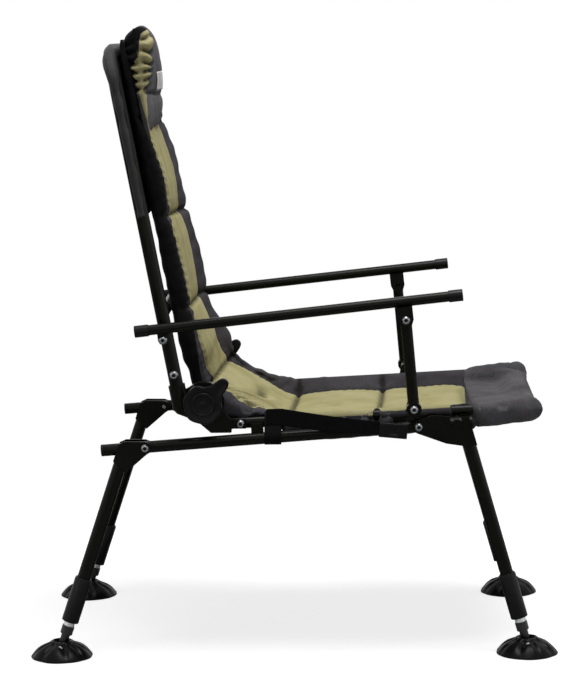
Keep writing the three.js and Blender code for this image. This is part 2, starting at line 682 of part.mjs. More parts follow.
function recliner({ word, y }) {
  const group = place(PIVOT_X, 0, PIVOT_HEIGHT);
  const r = RECLINER_RADIUS;
  const boltZ = -(PIVOT_HEIGHT - SEAT_DATUM_HEIGHT)
    + (PIVOT_X + BASE_BOLT_X - SEAT_DATUM_X) * Math.tan(radians(SEAT_SLOPE));
  const share = BASE_SHARES;
  const lugHalf = SEAT_TUBE_RADIUS * share.lug;
  const outline = outlineOf([
    ...arc(0, 0, r, -25, 215, BEND_STEPS * 3), [r * share.rear, -BASE_BOTTOM],
    [r * share.front, -BASE_BOTTOM], [r * share.toe, boltZ + lugHalf],
    [r * share.throat, boltZ + lugHalf * share.throatHeight],
  ]);
  const lug = plate(outlineOf([
    [r, boltZ - lugHalf], [BASE_LUG_END, boltZ - lugHalf], [BASE_LUG_END, boltZ + lugHalf],
    [r, boltZ + lugHalf],
  ]), y * baseInner, y * (baseInner + BASE_LUG_THICKNESS));
  const base = cut(join(plate(outline, y * baseInner, y * baseOuter), lug),
    crossRod(0, 0, y * (baseInner - OVERRUN), y * (baseOuter + OVERRUN), AXLE_RADIUS + BOLT_CLEARANCE,
      BOLT_SIDES),
    crossRod(BASE_BOLT_X, boltZ, y * (baseInner - OVERRUN), y * (baseOuter + OVERRUN),
      LEG_BOLT_RADIUS + BOLT_CLEARANCE, BOLT_SIDES));
  piece(group, `recliner_base_${word}`, base, 'plastic');
  piece(group, `base_bolt_${word}`, bolt(BASE_BOLT_X, boltZ,
    y * (baseInner + BASE_LUG_THICKNESS), y, BASE_LUG_THICKNESS + SEAT_TUBE_RADIUS), 'zinc');

  // Axle: a nut inside the base and a shank out to the knob's recess
  const axleEnd = knobOuter - KNOB_RECESS_DEPTH + CHEEK_THICKNESS;
  const axle = join(
    crossRod(0, 0, y * (baseInner - BOLT_HEAD_HEIGHT), y * (baseInner - GAP),
      BOLT_HEAD_RADIUS * AXLE_NUT_SHARE, BOLT_SIDES / 2),
    crossRod(0, 0, y * (baseInner - BOLT_HEAD_HEIGHT / 2), y * axleEnd, AXLE_RADIUS, BOLT_SIDES),
  );
  piece(group, `recliner_axle_${word}`, axle, 'zinc');

  // Knob
  const skirtOuter = knobSkirtInner + KNOB_SKIRT_THICKNESS;
  const leverX = KNOB_LEVER_REACH * Math.cos(radians(KNOB_LEVER_ANGLE));
  const leverZ = KNOB_LEVER_REACH * Math.sin(radians(KNOB_LEVER_ANGLE));
  const lever = plate(outlineOf([
    ...arc(leverX, leverZ, KNOB_LEVER_RADIUS, KNOB_LEVER_ANGLE - 90, KNOB_LEVER_ANGLE + 90),
    ...arc(0, 0, KNOB_LEVER_RADIUS * LEVER_ROOT_SHARE, KNOB_LEVER_ANGLE + 90,
      KNOB_LEVER_ANGLE + 270),
  ]), y * knobSkirtInner, y * (knobOuter - KNOB_LEVER_RADIUS / 4));
  const skirt = plate(outlineOf([
    ...arc(0, 0, KNOB_SKIRT_RADIUS, KNOB_SKIRT_START, KNOB_SKIRT_END, BEND_STEPS * 3), [0, 0],
  ]), y * knobSkirtInner, y * skirtOuter);
  const hub = crossRod(0, 0, y * (socketOuter + GAP), y * knobOuter, KNOB_HUB_RADIUS);
  const knob = cut(join(hub, skirt, lever),
    crossRod(0, 0, y * (knobOuter - KNOB_RECESS_DEPTH), y * (knobOuter + OVERRUN),
      KNOB_RECESS_RADIUS),
    crossRod(0, 0, y * socketOuter, y * (knobOuter + OVERRUN), AXLE_RADIUS + BOLT_CLEARANCE,
      BOLT_SIDES));
  piece(group, `clamp_knob_${word}`, knob, 'plastic');

  // Socket, in the back's frame
  const sleeveWide = SOCKET_SLEEVE_WIDTH / SOCKET_SLEEVE_RADIUS;
  const sleeveBody = rod(at(0, 0, SOCKET_BOTTOM), at(0, 0, SOCKET_TOP), SOCKET_SLEEVE_RADIUS)
    .scale([sleeveWide, 1, 1]);
  const left = BACK_TUBE_X - SOCKET_SLEEVE_WIDTH;
  const disc = plate(outlineOf([
    ...arc(0, 0, r, -115, 118, BEND_STEPS * 3), [left, SOCKET_TOP / 2],
    [left, SOCKET_BOTTOM], [left + SOCKET_SLEEVE_WIDTH / 3, SOCKET_BOTTOM * 3],
  ]), y * socketInner, y * socketOuter);
  const socket = cut(
    join(disc, moved(sleeveBody, BACK_TUBE_X, y * BACK_TUBE_Y, 0)),
    rod(at(BACK_TUBE_X, y * BACK_TUBE_Y, BACK_FOOT - RUNNING_GAP),
      at(BACK_TUBE_X, y * BACK_TUBE_Y, SOCKET_TOP + OVERRUN), BACK_RADIUS + RUNNING_GAP),
    crossRod(0, 0, y * (socketInner - OVERRUN), y * (socketOuter + OVERRUN),
      AXLE_RADIUS + BOLT_CLEARANCE, BOLT_SIDES),
    crossRod(0, 0, y * socketOuter, y * (knobOuter + OVERRUN), KNOB_HUB_RADIUS + RUNNING_GAP * 2),
  );
  piece(back, `recliner_socket_${word}`, socket, 'plastic');
  piece(back, `socket_bolt_${word}`, bolt(BACK_TUBE_X, SOCKET_BOLT_HEIGHT,
    y * (BACK_TUBE_Y + BACK_RADIUS), y, BACK_RADIUS), 'zinc');
}

// Back frame
const back = place(PIVOT_X, 0, PIVOT_HEIGHT, BACK_LEAN);

function backFrame() {
  const x = BACK_TUBE_X;
  const side = BACK_TUBE_Y - BACK_CORNER;
  const top = BACK_TOP - BACK_CORNER;
  const left = bend(at(x, side, top), at(0, 1, 0), at(0, 0, 1), BACK_CORNER);
  const right = bend(at(x, -side, top), at(0, 0, 1), at(0, -1, 0), BACK_CORNER);
  const path = (foot) => [
    at(x, BACK_TUBE_Y, foot), ...left, ...right, at(x, -BACK_TUBE_Y, foot),
  ];
  const crossEnd = BACK_TUBE_Y - BACK_RADIUS + TUBE_WALL / 2;
  let body = join(
    cut(sweep(path(BACK_FOOT), BACK_RADIUS), sweep(path(BACK_FOOT - OVERRUN),
      BACK_RADIUS - TUBE_WALL)),
    crossRod(x, BACK_CROSS_HEIGHT, -crossEnd, crossEnd, BACK_RADIUS - TUBE_WALL),
  );
  for (const { y } of sides) {
    const outer = y * (BACK_TUBE_Y + BACK_RADIUS + OVERRUN);
    body = cut(body,
      crossRod(x, SOCKET_BOLT_HEIGHT, y * BACK_TUBE_Y - y, outer, LEG_BOLT_RADIUS + BOLT_CLEARANCE,
        BOLT_SIDES),
      crossRod(ARM_PIVOT_X, ARM_PIVOT_HEIGHT, y * (BACK_TUBE_Y - BACK_RADIUS - OVERRUN), outer,
        LEG_BOLT_RADIUS + BOLT_CLEARANCE, BOLT_SIDES));
  }
  piece(back, 'back_frame', body, 'frame');
}

// Arms and posts
const lean = radians(BACK_LEAN);
const armPivotX = PIVOT_X + ARM_PIVOT_X * Math.cos(lean) - ARM_PIVOT_HEIGHT * Math.sin(lean);
const armPivotZ = PIVOT_HEIGHT + ARM_PIVOT_X * Math.sin(lean) + ARM_PIVOT_HEIGHT * Math.cos(lean);
const armRise = radians(ARM_RISE);
const armBoltZ = ARM_AXIS_ABOVE_PIVOT - ARM_FRONT_BOLT_DROP;
const postTopX = armPivotX + ARM_FRONT_BOLT_X * Math.cos(armRise) - armBoltZ * Math.sin(armRise);
const postTopZ = armPivotZ + ARM_FRONT_BOLT_X * Math.sin(armRise) + armBoltZ * Math.cos(armRise);

function arm({ word, y }) {
  const group = place(armPivotX, y * ARM_Y, armPivotZ, ARM_RISE);
  const rearEnd = -ARM_REAR_OVERHANG;
  const frontEnd = rearEnd + ARM_LENGTH;
  const axisZ = ARM_AXIS_ABOVE_PIVOT;
  const half = POST_RADIUS + GAP * 2;
  const webLow = axisZ - ARM_RADIUS - ARM_CHEEK_THICKNESS + WELD;
  const cheek = outlineOf([
    ...arc(ARM_FRONT_BOLT_X, armBoltZ, ARM_CHEEK_HALF_WIDTH, 180, 360),
    [ARM_FRONT_BOLT_X + ARM_CHEEK_HALF_WIDTH, webLow + ARM_CHEEK_THICKNESS],
    [ARM_FRONT_BOLT_X - ARM_CHEEK_HALF_WIDTH, webLow + ARM_CHEEK_THICKNESS],
  ]);
  const bushInner = -(ARM_Y - BACK_TUBE_Y - BACK_RADIUS - GAP);
  const tabHalf = ARM_TAB_THICKNESS / 2;
  let body = join(
    rod(at(rearEnd, 0, axisZ), at(frontEnd, 0, axisZ), ARM_RADIUS),
    box(at(ARM_FRONT_BOLT_X - ARM_CHEEK_HALF_WIDTH, -half - ARM_CHEEK_THICKNESS, webLow),
      at(ARM_FRONT_BOLT_X + ARM_CHEEK_HALF_WIDTH, half + ARM_CHEEK_THICKNESS,
        webLow + ARM_CHEEK_THICKNESS)),
    plate(cheek, half, half + ARM_CHEEK_THICKNESS),
    plate(cheek, -half, -half - ARM_CHEEK_THICKNESS),
    plate(outlineOf([
      ...arc(0, 0, ARM_TAB_RADIUS, 180, 360), [ARM_TAB_RADIUS, axisZ - ARM_RADIUS / 2],
      [-ARM_TAB_RADIUS, axisZ - ARM_RADIUS / 2],
    ]), -tabHalf, tabHalf),
    crossRod(0, 0, 0, y * bushInner, ARM_BUSH_RADIUS),
  );
  const reach = ARM_Y;
  body = cut(body,
    crossRod(0, 0, -reach, reach, LEG_BOLT_RADIUS + BOLT_CLEARANCE, BOLT_SIDES),
    crossRod(ARM_FRONT_BOLT_X, armBoltZ, -reach, reach, LEG_BOLT_RADIUS + BOLT_CLEARANCE, BOLT_SIDES),
    rod(at(rearEnd - OVERRUN, 0, axisZ), at(frontEnd + OVERRUN, 0, axisZ), ARM_RADIUS - ARM_WALL));
  piece(group, `arm_${word}`, body, 'frame');

  const through = ARM_Y - BACK_TUBE_Y + BACK_RADIUS + tabHalf;
  piece(group, `arm_pivot_bolt_${word}`, bolt(0, 0, y * tabHalf, y, through), 'zinc');
  const outerFace = half + ARM_CHEEK_THICKNESS;
  piece(group, `post_top_bolt_${word}`, bolt(ARM_FRONT_BOLT_X, armBoltZ, y * outerFace, y,
    ARM_CHEEK_THICKNESS), 'zinc');

  // Caps: a cup over each end of the tube
  for (const [place, end, turn] of [['front', frontEnd, 1], ['rear', rearEnd, -1]]) {
    const seatX = end + turn * GAP;
    const outerX = seatX + turn * ARM_CAP_WALL * 2;
    const cap = cut(
      rod(at(end - turn * ARM_CAP_LENGTH, 0, axisZ), at(outerX, 0, axisZ),
        ARM_RADIUS + GAP + ARM_CAP_WALL),
      rod(at(end - turn * (ARM_CAP_LENGTH + OVERRUN), 0, axisZ), at(seatX, 0, axisZ),
        ARM_RADIUS + GAP),
    );
    piece(group, `arm_${place}_cap_${word}`, cap, 'plastic');
  }

  // Post, in the frame of its lower pivot
  const dx = postTopX - POST_FOOT_X;
  const dz = postTopZ - POST_FOOT_HEIGHT;
  const length = Math.hypot(dx, dz);
  const post = place(POST_FOOT_X, y * ARM_Y, POST_FOOT_HEIGHT, THREE.MathUtils.radToDeg(
    Math.atan2(-dx, dz)));
  const column = join(
    rod(at(0, 0, 0), at(0, 0, length + POST_TOP_ABOVE_BOLT), POST_RADIUS),
    crossRod(0, 0, -POST_RADIUS, POST_RADIUS, POST_EYE_RADIUS),
  );
  piece(post, `post_${word}`, cut(column,
    crossRod(0, 0, -reach, reach, LEG_BOLT_RADIUS + BOLT_CLEARANCE, BOLT_SIDES)), 'frame');
  const stubDepth = ARM_Y - SEAT_TUBE_Y - SEAT_TUBE_RADIUS - STUB_TAB_THICKNESS;
  piece(seat, `post_foot_bolt_${word}`, moved(
    bolt(0, 0, y * POST_RADIUS, y, stubDepth), inSeat(POST_FOOT_X, POST_FOOT_HEIGHT)[0], y * ARM_Y,
    inSeat(POST_FOOT_X, POST_FOOT_HEIGHT)[1]), 'zinc');
}

// Mattress on the seat: a pad that hangs between two sleeves, which run round the side tubes
function seatMattress() {
  const edge = SEAT_TUBE_Y - SEAT_TUBE_RADIUS + CLOTH;
  const front = POCKET_REAR - GAP;
  const along = (share) => between(SEAT_PAD_REAR, front, share);
  const top = (share, across) => SEAT_EDGE_TOP - SEAT_SAG * (1 - across ** 8)
    + quilting(along(share), SEAT_SEAMS, across);
  const depth = (across) => between(SEAT_PAD_THICKNESS, SEAT_EDGE_THICKNESS, across ** 8);
  let body = pad({
    rows: PAD_ROWS,
    columns: PAD_COLUMNS,
    halfWidth: () => edge,
    lower: (share, across) => [
      along(share), SEAT_EDGE_TOP - SEAT_SAG * (1 - across ** 8) - depth(across),
    ],
    upper: (share, across) => [along(share), top(share, across)],
  });
  for (const { y } of sides) {
    const start = at(SEAT_PAD_REAR, y * SEAT_TUBE_Y, 0);
    body = join(body,
      rod(start, at(SLEEVE_END, y * SEAT_TUBE_Y, 0), SEAT_TUBE_RADIUS + GAP + CLOTH));
    body = cut(body, rod(at(-SEAT_REAR, y * SEAT_TUBE_Y, 0), at(SEAT_FRONT, y * SEAT_TUBE_Y, 0),
      SEAT_TUBE_RADIUS + GAP));
  }
  piece(seat, 'seat_mattress', body, 'olive');
}

// Front of the mattress: a padded pocket that the front of the seat frame lies in
function frontPocket() {
  const reach = SEAT_FRONT + SEAT_TUBE_RADIUS + GAP + POCKET_WALL;
  const half = SEAT_TUBE_Y + SEAT_TUBE_RADIUS + GAP + POCKET_WALL / 2;
  const corner = SEAT_CORNER + SEAT_TUBE_RADIUS;
  const notch = SEAT_TUBE_Y - SEAT_TUBE_RADIUS - CLOTH;
  const outline = new THREE.Shape([
    [POCKET_REAR, -notch], [POCKET_SIDE_START, -notch], [POCKET_SIDE_START, -half],
    ...arc(reach - corner, -half + corner, corner, 270, 360),
    ...arc(reach - corner, half - corner, corner, 0, 90),
    [POCKET_SIDE_START, half], [POCKET_SIDE_START, notch], [POCKET_REAR, notch],
  ].map(([x, y]) => new THREE.Vector2(x, y)));
  const high = SEAT_TUBE_RADIUS + GAP + POCKET_WALL;
  const block = new THREE.ExtrudeGeometry(outline, {
    depth: high + POCKET_BELOW, bevelEnabled: false,
  });
  block.translate(0, 0, -POCKET_BELOW);
  const front = SEAT_FRONT - SEAT_CORNER;
  const side = SEAT_TUBE_Y - SEAT_CORNER;
  const bore = sweep([
    at(SEAT_PAD_REAR, SEAT_TUBE_Y, 0),
    ...bend(at(front, side, 0), at(0, 1, 0), at(1, 0, 0), SEAT_CORNER),
    ...bend(at(front, -side, 0), at(1, 0, 0), at(0, -1, 0), SEAT_CORNER),
    at(SEAT_PAD_REAR, -SEAT_TUBE_Y, 0),
  ], SEAT_TUBE_RADIUS + GAP);
  piece(seat, 'seat_front_pocket', cut(solid(block), bore), 'charcoal');
}

// Point in the back's frame given in the seat frame's world
function fromBack(x, z) {
  return [
    PIVOT_X + x * Math.cos(lean) - z * Math.sin(lean),
    PIVOT_HEIGHT + x * Math.sin(lean) + z * Math.cos(lean),
  ];
}
const backPadRear = BACK_TUBE_X + BACK_RADIUS + HOOD_WALL + GAP * 2;
const backPadFront = backPadRear + BACK_PAD_THICKNESS;

// The bend of the mattress between seat and back, gathered in wrinkles
function mattressBend() {
  const rise = radians(SEAT_SLOPE);
  const seatEnd = (z) => [
    SEAT_DATUM_X + (SEAT_PAD_REAR - GAP) * Math.cos(rise) - z * Math.sin(rise),
    SEAT_DATUM_HEIGHT + (SEAT_PAD_REAR - GAP) * Math.sin(rise) + z * Math.cos(rise),
  ];
  const curve = (start, end, pull) => {
    const [dx, dz] = [end[0] - start[0], end[1] - start[1]];
    const length = Math.hypot(dx, dz);
    const path = new THREE.CubicBezierCurve(
      new THREE.Vector2(...start),
      new THREE.Vector2(start[0] - pull.seat * length, start[1] + pull.lift * length),
      new THREE.Vector2(end[0] + pull.forward * length, end[1] - pull.back * length),
      new THREE.Vector2(...end),
    );
    return (share) => path.getPoint(share);
  };
  const seatTop = SEAT_EDGE_TOP - SEAT_SAG;
  const top = curve(seatEnd(seatTop), fromBack(backPadFront, BACK_PAD_BOTTOM - GAP),
    { seat: BEND_SHARES.seatPull, lift: 0, forward: BEND_SHARES.bulge, back: BEND_SHARES.backPull });
  const bottom = curve(seatEnd(seatTop - BEND_THICKNESS),
    fromBack(backPadRear, BACK_PAD_BOTTOM - GAP), {
      seat: BEND_SHARES.bulge, lift: BEND_SHARES.bulge / 4,
      forward: BEND_SHARES.bulge / 2, back: BEND_SHARES.backPull,
    });
  const wrinkle = (share, across) => BEND_WRINKLE * crown(share) * (1 - across ** 8)
    * Math.sin(2 * Math.PI * BEND_WRINKLES * share);
  const body = pad({
    rows: PAD_ROWS,
    columns: PAD_COLUMNS,
    halfWidth: () => BEND_HALF_WIDTH,
    lower: (share) => bottom(share).toArray(),
    upper: (share, across) => {
      const point = top(share);
      return [point.x + wrinkle(share, across), point.y + wrinkle(share, across)];
    },
  });
  piece(chair, 'mattress_bend', body, 'charcoal');
}

// Back padding, head pillow and the hood over the top of the back frame
function backMattress() {
  const along = (share) => between(BACK_PAD_BOTTOM, BACK_PAD_TOP, share);
  const drawnIn = (place) => SIDE_DRAW_IN * (quilting(place, BACK_SEAMS, 0) / PAD_CROWN - 1);
  const panels = (share, across) => (along(share) > BACK_SEAMS.at(-1) ? 0
    : quilting(along(share), BACK_SEAMS, across));
  piece(back, 'back_mattress', pad({
    rows: PAD_ROWS,
    columns: PAD_COLUMNS,
    halfWidth: (share) => BACK_PAD_HALF_WIDTH + Math.max(-SIDE_DRAW_IN, drawnIn(along(share))),
    lower: (share) => [backPadRear, along(share)],
    upper: (share, across) => [backPadFront + panels(share, across), along(share)],
  }), 'olive');

  const pillowRear = backPadFront + GAP;
  piece(back, 'head_pillow', pad({
    rows: PAD_COLUMNS,
    columns: PAD_COLUMNS,
    halfWidth: (share) => PILLOW_HALF_WIDTH - SIDE_DRAW_IN * (1 - crown(share)),
    lower: (share) => [pillowRear, between(PILLOW_BOTTOM, PILLOW_TOP, share)],
    upper: (share, across) => [
      pillowRear + between(PILLOW_EDGE, PILLOW_THICKNESS, crown(share) * (1 - across ** 6)),
      between(PILLOW_BOTTOM, PILLOW_TOP, share),
    ],
  }), 'olive');

  const side = BACK_TUBE_Y - BACK_CORNER;
  const top = BACK_TOP - BACK_CORNER;
  const low = BACK_TOP - HOOD_LENGTH;
  const x = BACK_TUBE_X;
  const path = (foot) => [
    at(x, BACK_TUBE_Y, foot),
    ...bend(at(x, side, top), at(0, 1, 0), at(0, 0, 1), BACK_CORNER),
    ...bend(at(x, -side, top), at(0, 0, 1), at(0, -1, 0), BACK_CORNER),
    at(x, -BACK_TUBE_Y, foot),
  ];
  const panel = new THREE.ExtrudeGeometry(new THREE.Shape([
    [-BACK_TUBE_Y, low], [BACK_TUBE_Y, low],
    ...arc(side, top, BACK_CORNER, 0, 90), ...arc(-side, top, BACK_CORNER, 90, 180),
  ].map(([y, z]) => new THREE.Vector2(y, z))), { depth: 2 * HOOD_WALL, bevelEnabled: false });
  panel.rotateX(Math.PI / 2);
  panel.rotateZ(Math.PI / 2);
  panel.translate(x - HOOD_WALL, 0, 0);
  const hood = cut(join(solid(panel), sweep(path(low), BACK_RADIUS + GAP + HOOD_WALL)),
    sweep(path(low - OVERRUN), BACK_RADIUS + GAP));
  piece(back, 'back_hood', hood, 'charcoal');
}

// Straps: webbing round the rail and the seat tube, with a band and a buckle along the rail
function strap({ word, y }) {
  const rail = inSeat(...inWorldRail(STRAP_REAR_X + STRAP_WIDTH / 2));
  const loop = (ease) => {
    const points = [];
    const from = Math.atan2(rail[1], RAIL_Y - SEAT_TUBE_Y);
    const quarter = Math.PI / 2;
    for (const [cy, cz, radius, turn] of [
      [SEAT_TUBE_Y, 0, SEAT_TUBE_RADIUS, from + quarter],
      [RAIL_Y, rail[1], RAIL_RADIUS, from - quarter],
    ]) {
      for (let i = 0; i <= 2 * BEND_STEPS; i += 1) {
        const angle = turn + (Math.PI * i) / (2 * BEND_STEPS);
        points.push([cy + (radius + ease) * Math.cos(angle), cz + (radius + ease) * Math.sin(angle)]);
      }
    }
    const turned = points.map(([across, z]) => new THREE.Vector2(y * across, z));
    return y > 0 ? turned : turned.reverse();
  };
  const shape = new THREE.Shape(loop(STRAP_EASE + STRAP_THICKNESS));
  shape.holes.push(new THREE.Path(loop(STRAP_EASE)));
  const webbing = new THREE.ExtrudeGeometry(shape, { depth: STRAP_WIDTH, bevelEnabled: false });
  webbing.rotateX(Math.PI / 2);
  webbing.rotateZ(Math.PI / 2);
  webbing.translate(rail[0] - STRAP_WIDTH / 2, 0, 0);
  const inner = RAIL_Y + RAIL_RADIUS + STRAP_EASE;
  const startX = rail[0];
  const endX = rail[0] - STRAP_WIDTH / 2 + BAND_END;
  const endZ = railHeightAt(endX);
  const band = plate(outlineOf([
    [startX, rail[1] - BAND_END_HALF], [endX, endZ - BAND_END_HALF],
    [endX, endZ + BAND_END_HALF], [startX, rail[1] + BAND_TOP],
  ]), y * inner, y * (inner + STRAP_THICKNESS));
  const buckle = plate(outlineOf([
    [endX - WELD, endZ - BUCKLE_HALF], [endX + BUCKLE_LENGTH, endZ - BUCKLE_HALF / 2],
    [endX + BUCKLE_LENGTH, endZ + BUCKLE_HALF / 2], [endX - WELD, endZ + BUCKLE_HALF],
  ]), y * inner, y * (inner + BUCKLE_THICKNESS));
  piece(seat, `side_strap_${word}`, join(solid(webbing), band, buckle), 'webbing');
}

// A point of the rail's axis, in the world
function inWorldRail(x) {
  return [x, REAR_BOLT_HEIGHT + (x - rearBoltX) * Math.tan(railSlope)];
}

seatFrame();
rails();
for (const side of sides) {
  leg('rear', side);
  leg('front', side);
  recliner(side);
  arm(side);
  strap(side);
}
backFrame();
seatMattress();
frontPocket();
mattressBend();
backMattress();

export default chair;
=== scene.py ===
"""Reclining carp fishing chair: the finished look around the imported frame.

Lengths inside the classes are millimetres in the frame of the CAD model, and are turned to metres
when a piece is made. The chair faces +X and the camera looks at its right side, from -Y.
"""
import json
import logging
import math
from collections.abc import Sequence
from dataclasses import dataclass, field
from enum import Enum

import bmesh
import bpy
import numpy as np
from mathutils import Matrix, Vector

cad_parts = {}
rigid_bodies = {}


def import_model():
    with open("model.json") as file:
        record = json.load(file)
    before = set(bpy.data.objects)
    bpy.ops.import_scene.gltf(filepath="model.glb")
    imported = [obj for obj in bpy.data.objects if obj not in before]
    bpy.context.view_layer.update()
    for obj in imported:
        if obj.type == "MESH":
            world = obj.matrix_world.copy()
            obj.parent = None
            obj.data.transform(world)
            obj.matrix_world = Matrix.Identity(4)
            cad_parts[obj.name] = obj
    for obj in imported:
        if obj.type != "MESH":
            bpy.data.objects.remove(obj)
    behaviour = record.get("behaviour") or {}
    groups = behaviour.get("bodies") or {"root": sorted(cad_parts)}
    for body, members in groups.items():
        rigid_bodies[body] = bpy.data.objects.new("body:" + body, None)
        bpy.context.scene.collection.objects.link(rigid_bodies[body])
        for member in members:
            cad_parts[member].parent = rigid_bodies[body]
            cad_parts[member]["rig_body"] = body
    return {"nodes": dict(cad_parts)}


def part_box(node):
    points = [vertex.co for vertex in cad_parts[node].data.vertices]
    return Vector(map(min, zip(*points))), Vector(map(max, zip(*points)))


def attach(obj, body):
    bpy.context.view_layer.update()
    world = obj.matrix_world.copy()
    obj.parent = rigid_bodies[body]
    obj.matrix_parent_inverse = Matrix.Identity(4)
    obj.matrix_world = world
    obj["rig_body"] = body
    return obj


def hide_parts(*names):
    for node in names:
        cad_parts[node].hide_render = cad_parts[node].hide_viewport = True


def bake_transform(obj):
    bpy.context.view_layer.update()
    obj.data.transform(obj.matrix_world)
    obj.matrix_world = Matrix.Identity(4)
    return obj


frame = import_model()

# Short names of the types that the hints use most
Array = np.ndarray
Pairs = tuple[tuple[float, float], ...]
Piece = bpy.types.Object
Shape = bmesh.types.BMesh
Tree = bpy.types.NodeTree
Socket = bpy.types.NodeSocket

LOG = logging.getLogger("chair")
MM = 0.001
TURN = 2 * math.pi

# The recliner pivot, the lean of the back and the line of the seat tubes, as in the CAD model
PIVOT = (-160.0, 479.4)
LEAN = math.radians(10.3)
SEAT_DATUM = (-86.5, 435.8)
SEAT_RISE = math.tan(math.radians(2.6))
SEAT_REAR = -22.0
RAIL_RISE = math.tan(math.radians(3.9))
RAIL_DATUM = (-269.93, 395.5)
RAIL_Y = 248.0
# Where the seat tube starts to bend round its front corner, and the radius of that bend
SEAT_CORNER = (387.5, 166.0)
SEAT_BEND = 55.0
SEAT_TUBE_Y = SEAT_CORNER[1] + SEAT_BEND


class Way(Enum):
    """A direction, valued with its sign."""

    @property
    def word(self) -> str:
        """The direction as the CAD nodes' names give it."""
        return self.name.lower()


class Side(Way):
    """The two sides of the chair, with the sign of their Y."""

    RIGHT = -1
    LEFT = 1


class End(Way):
    """The two ends of the chair, with the sign of their X."""

    REAR = -1
    FRONT = 1


class Run(Enum):
    """The two stretches of the mattress: along the seat by X, and up the back by height."""

    SEAT = "seat"
    BACK = "back"


# ---------------------------------------------------------------- shapes


def seat_height(x: Array | float) -> Array | float:
    """Height of the seat tubes' axis at a place along the chair, mm."""
    return SEAT_DATUM[1] + SEAT_RISE * (x - SEAT_DATUM[0])


def rail_height(x: float) -> float:
    """Height of the lower rails' axis at a place along the chair, mm."""
    return RAIL_DATUM[1] + RAIL_RISE * (x - RAIL_DATUM[0])


def back_place(forward: Array, up: Array) -> tuple[Array, Array]:
    """Turns a place in the frame of the reclined back to the chair's X and Z.

    Args:
        forward: distance in front of the pivot, square to the back, mm.
        up: distance above the pivot, along the back, mm.

    Returns:
        X and Z, mm.
    """
    x = PIVOT[0] + forward * math.cos(LEAN) - up * math.sin(LEAN)
    z = PIVOT[1] + forward * math.sin(LEAN) + up * math.cos(LEAN)
    return x, z


def on_back(points: Array) -> Array:
    """Turns points given as forward, Y and up on the back to the chair's own, mm."""
    x, z = back_place(points[..., 0], points[..., 2])
    return np.stack([x, points[..., 1], z], axis=-1)


def ramp(values: Array, start: float, reach: float) -> Array:
    """Rises from 0 at the start to 1 a reach further on."""
    return np.clip((values - start) / reach, 0, 1)


def ridge(away: Array, width: float) -> Array:
    """A smooth bump: 1 on the line, and almost 0 at twice its width away."""
    return np.exp(-((away / width) ** 2))


def fold(
    away: Array, depth: float, groove: float, lip: float, width: float, share: float = 0.45
) -> Array:
    """The rise of a fold in cloth: a groove with a lower lip beside it.

    Args:
        away: distance from the fold's line.
        depth: depth of the groove, mm.
        groove: half width of the groove, in the unit of the distance.
        lip: where the lip stands.
        width: half width of the lip.
        share: height of the lip as a share of the depth.

    Returns:
        The rise, mm.
    """
    return depth * (share * ridge(away - lip, width) - ridge(away, groove))


def waves(points: Array, size: float, seed: int) -> Array:
    """A smooth uneven field from ten seeded waves, about -1 to 1.

    Args:
        points: places, mm, in the last axis.
        size: length of the waves, mm.
        seed: which field.

    Returns:
        One value for each place.
    """
    rng = np.random.default_rng(seed)
    total = np.zeros(points.shape[:-1])
    for _ in range(10):
        heading = rng.normal(size=3)
        heading *= rng.uniform(0.6, 1.7) * TURN / (size * np.linalg.norm(heading))
        total += np.sin(points @ heading + rng.uniform(0, TURN))
    return np.clip(total / 4.0, -1.2, 1.2)


@dataclass(frozen=True)
class Stitching:
    """A sewn line in padding: its groove, and the puckers beside it, in mm."""

    depth: float
    width: float
    pucker: float
    reach: float
    pitch: float
    stray: float = 0.0

    def rise(self, away: Array, along: Array, uneven: Array | float = 0.0) -> Array:
        """The padding's rise near the line.

        Args:
            away: distance from the line, mm.
            along: length along the line, mm.
            uneven: an uneven field that spaces the puckers.

        Returns:
            The rise, mm.
        """
        pucker = self.pucker * np.sin(TURN * along / self.pitch + self.stray * uneven)
        return pucker * ridge(away, self.reach) - self.depth * ridge(away, self.width)


def run_length(line: Array) -> Array:
    """The length from a line's start to each of its points."""
    return np.concatenate([[0], np.cumsum(np.linalg.norm(np.diff(line, axis=0), axis=1))])


def closed_curve(controls: Array, places: Array) -> Array:
    """A smooth closed curve through control points.

    Args:
        controls: control points, in the axis before the last.
        places: places on the curve, counted in control points.

    Returns:
        The curve's points.
    """
    count = controls.shape[-2]
    start = np.floor(places).astype(int)
    t = places - start
    shares = (
        (-t + 2 * t**2 - t**3) / 2,
        (2 - 5 * t**2 + 3 * t**3) / 2,
        (t + 4 * t**2 - 3 * t**3) / 2,
        (t**3 - t**2) / 2,
    )
    return sum(
        share[:, None] * controls[..., (start + k - 1) % count, :]
        for k, share in enumerate(shares)
    )


def even_places(controls: Array, number: int) -> tuple[Array, Array]:
    """Evenly spread places on a closed curve.

    Args:
        controls: the curve's control points.
        number: how many steps.

    Returns:
        The places, counted in control points, and their length along the curve.
    """
    fine = np.linspace(0, controls.shape[0], 4000)
    run = run_length(closed_curve(controls, fine))
    lengths = np.linspace(0, run[-1], number + 1)
    return np.interp(lengths, run, fine), lengths


def blurred(values: Array, reach: float) -> Array:
    """Smooths values along their first axis, whose ends keep their slope.

    Args:
        values: the values.
        reach: spread of the smoothing, in steps.

    Returns:
        The smoothed values.
    """
    span = math.ceil(reach * 3)
    weights = np.exp(-0.5 * (np.arange(-span, span + 1) / reach) ** 2)
    weights /= weights.sum()
    steps = np.arange(1, span + 1).reshape(-1, *[1] * (values.ndim - 1))
    lead = values[0] - steps[::-1] * (values[1] - values[0])
    tail = values[-1] + steps * (values[-1] - values[-2])
    padded = np.concatenate([lead, values, tail])
    return sum(w * padded[k : k + len(values)] for k, w in enumerate(weights))


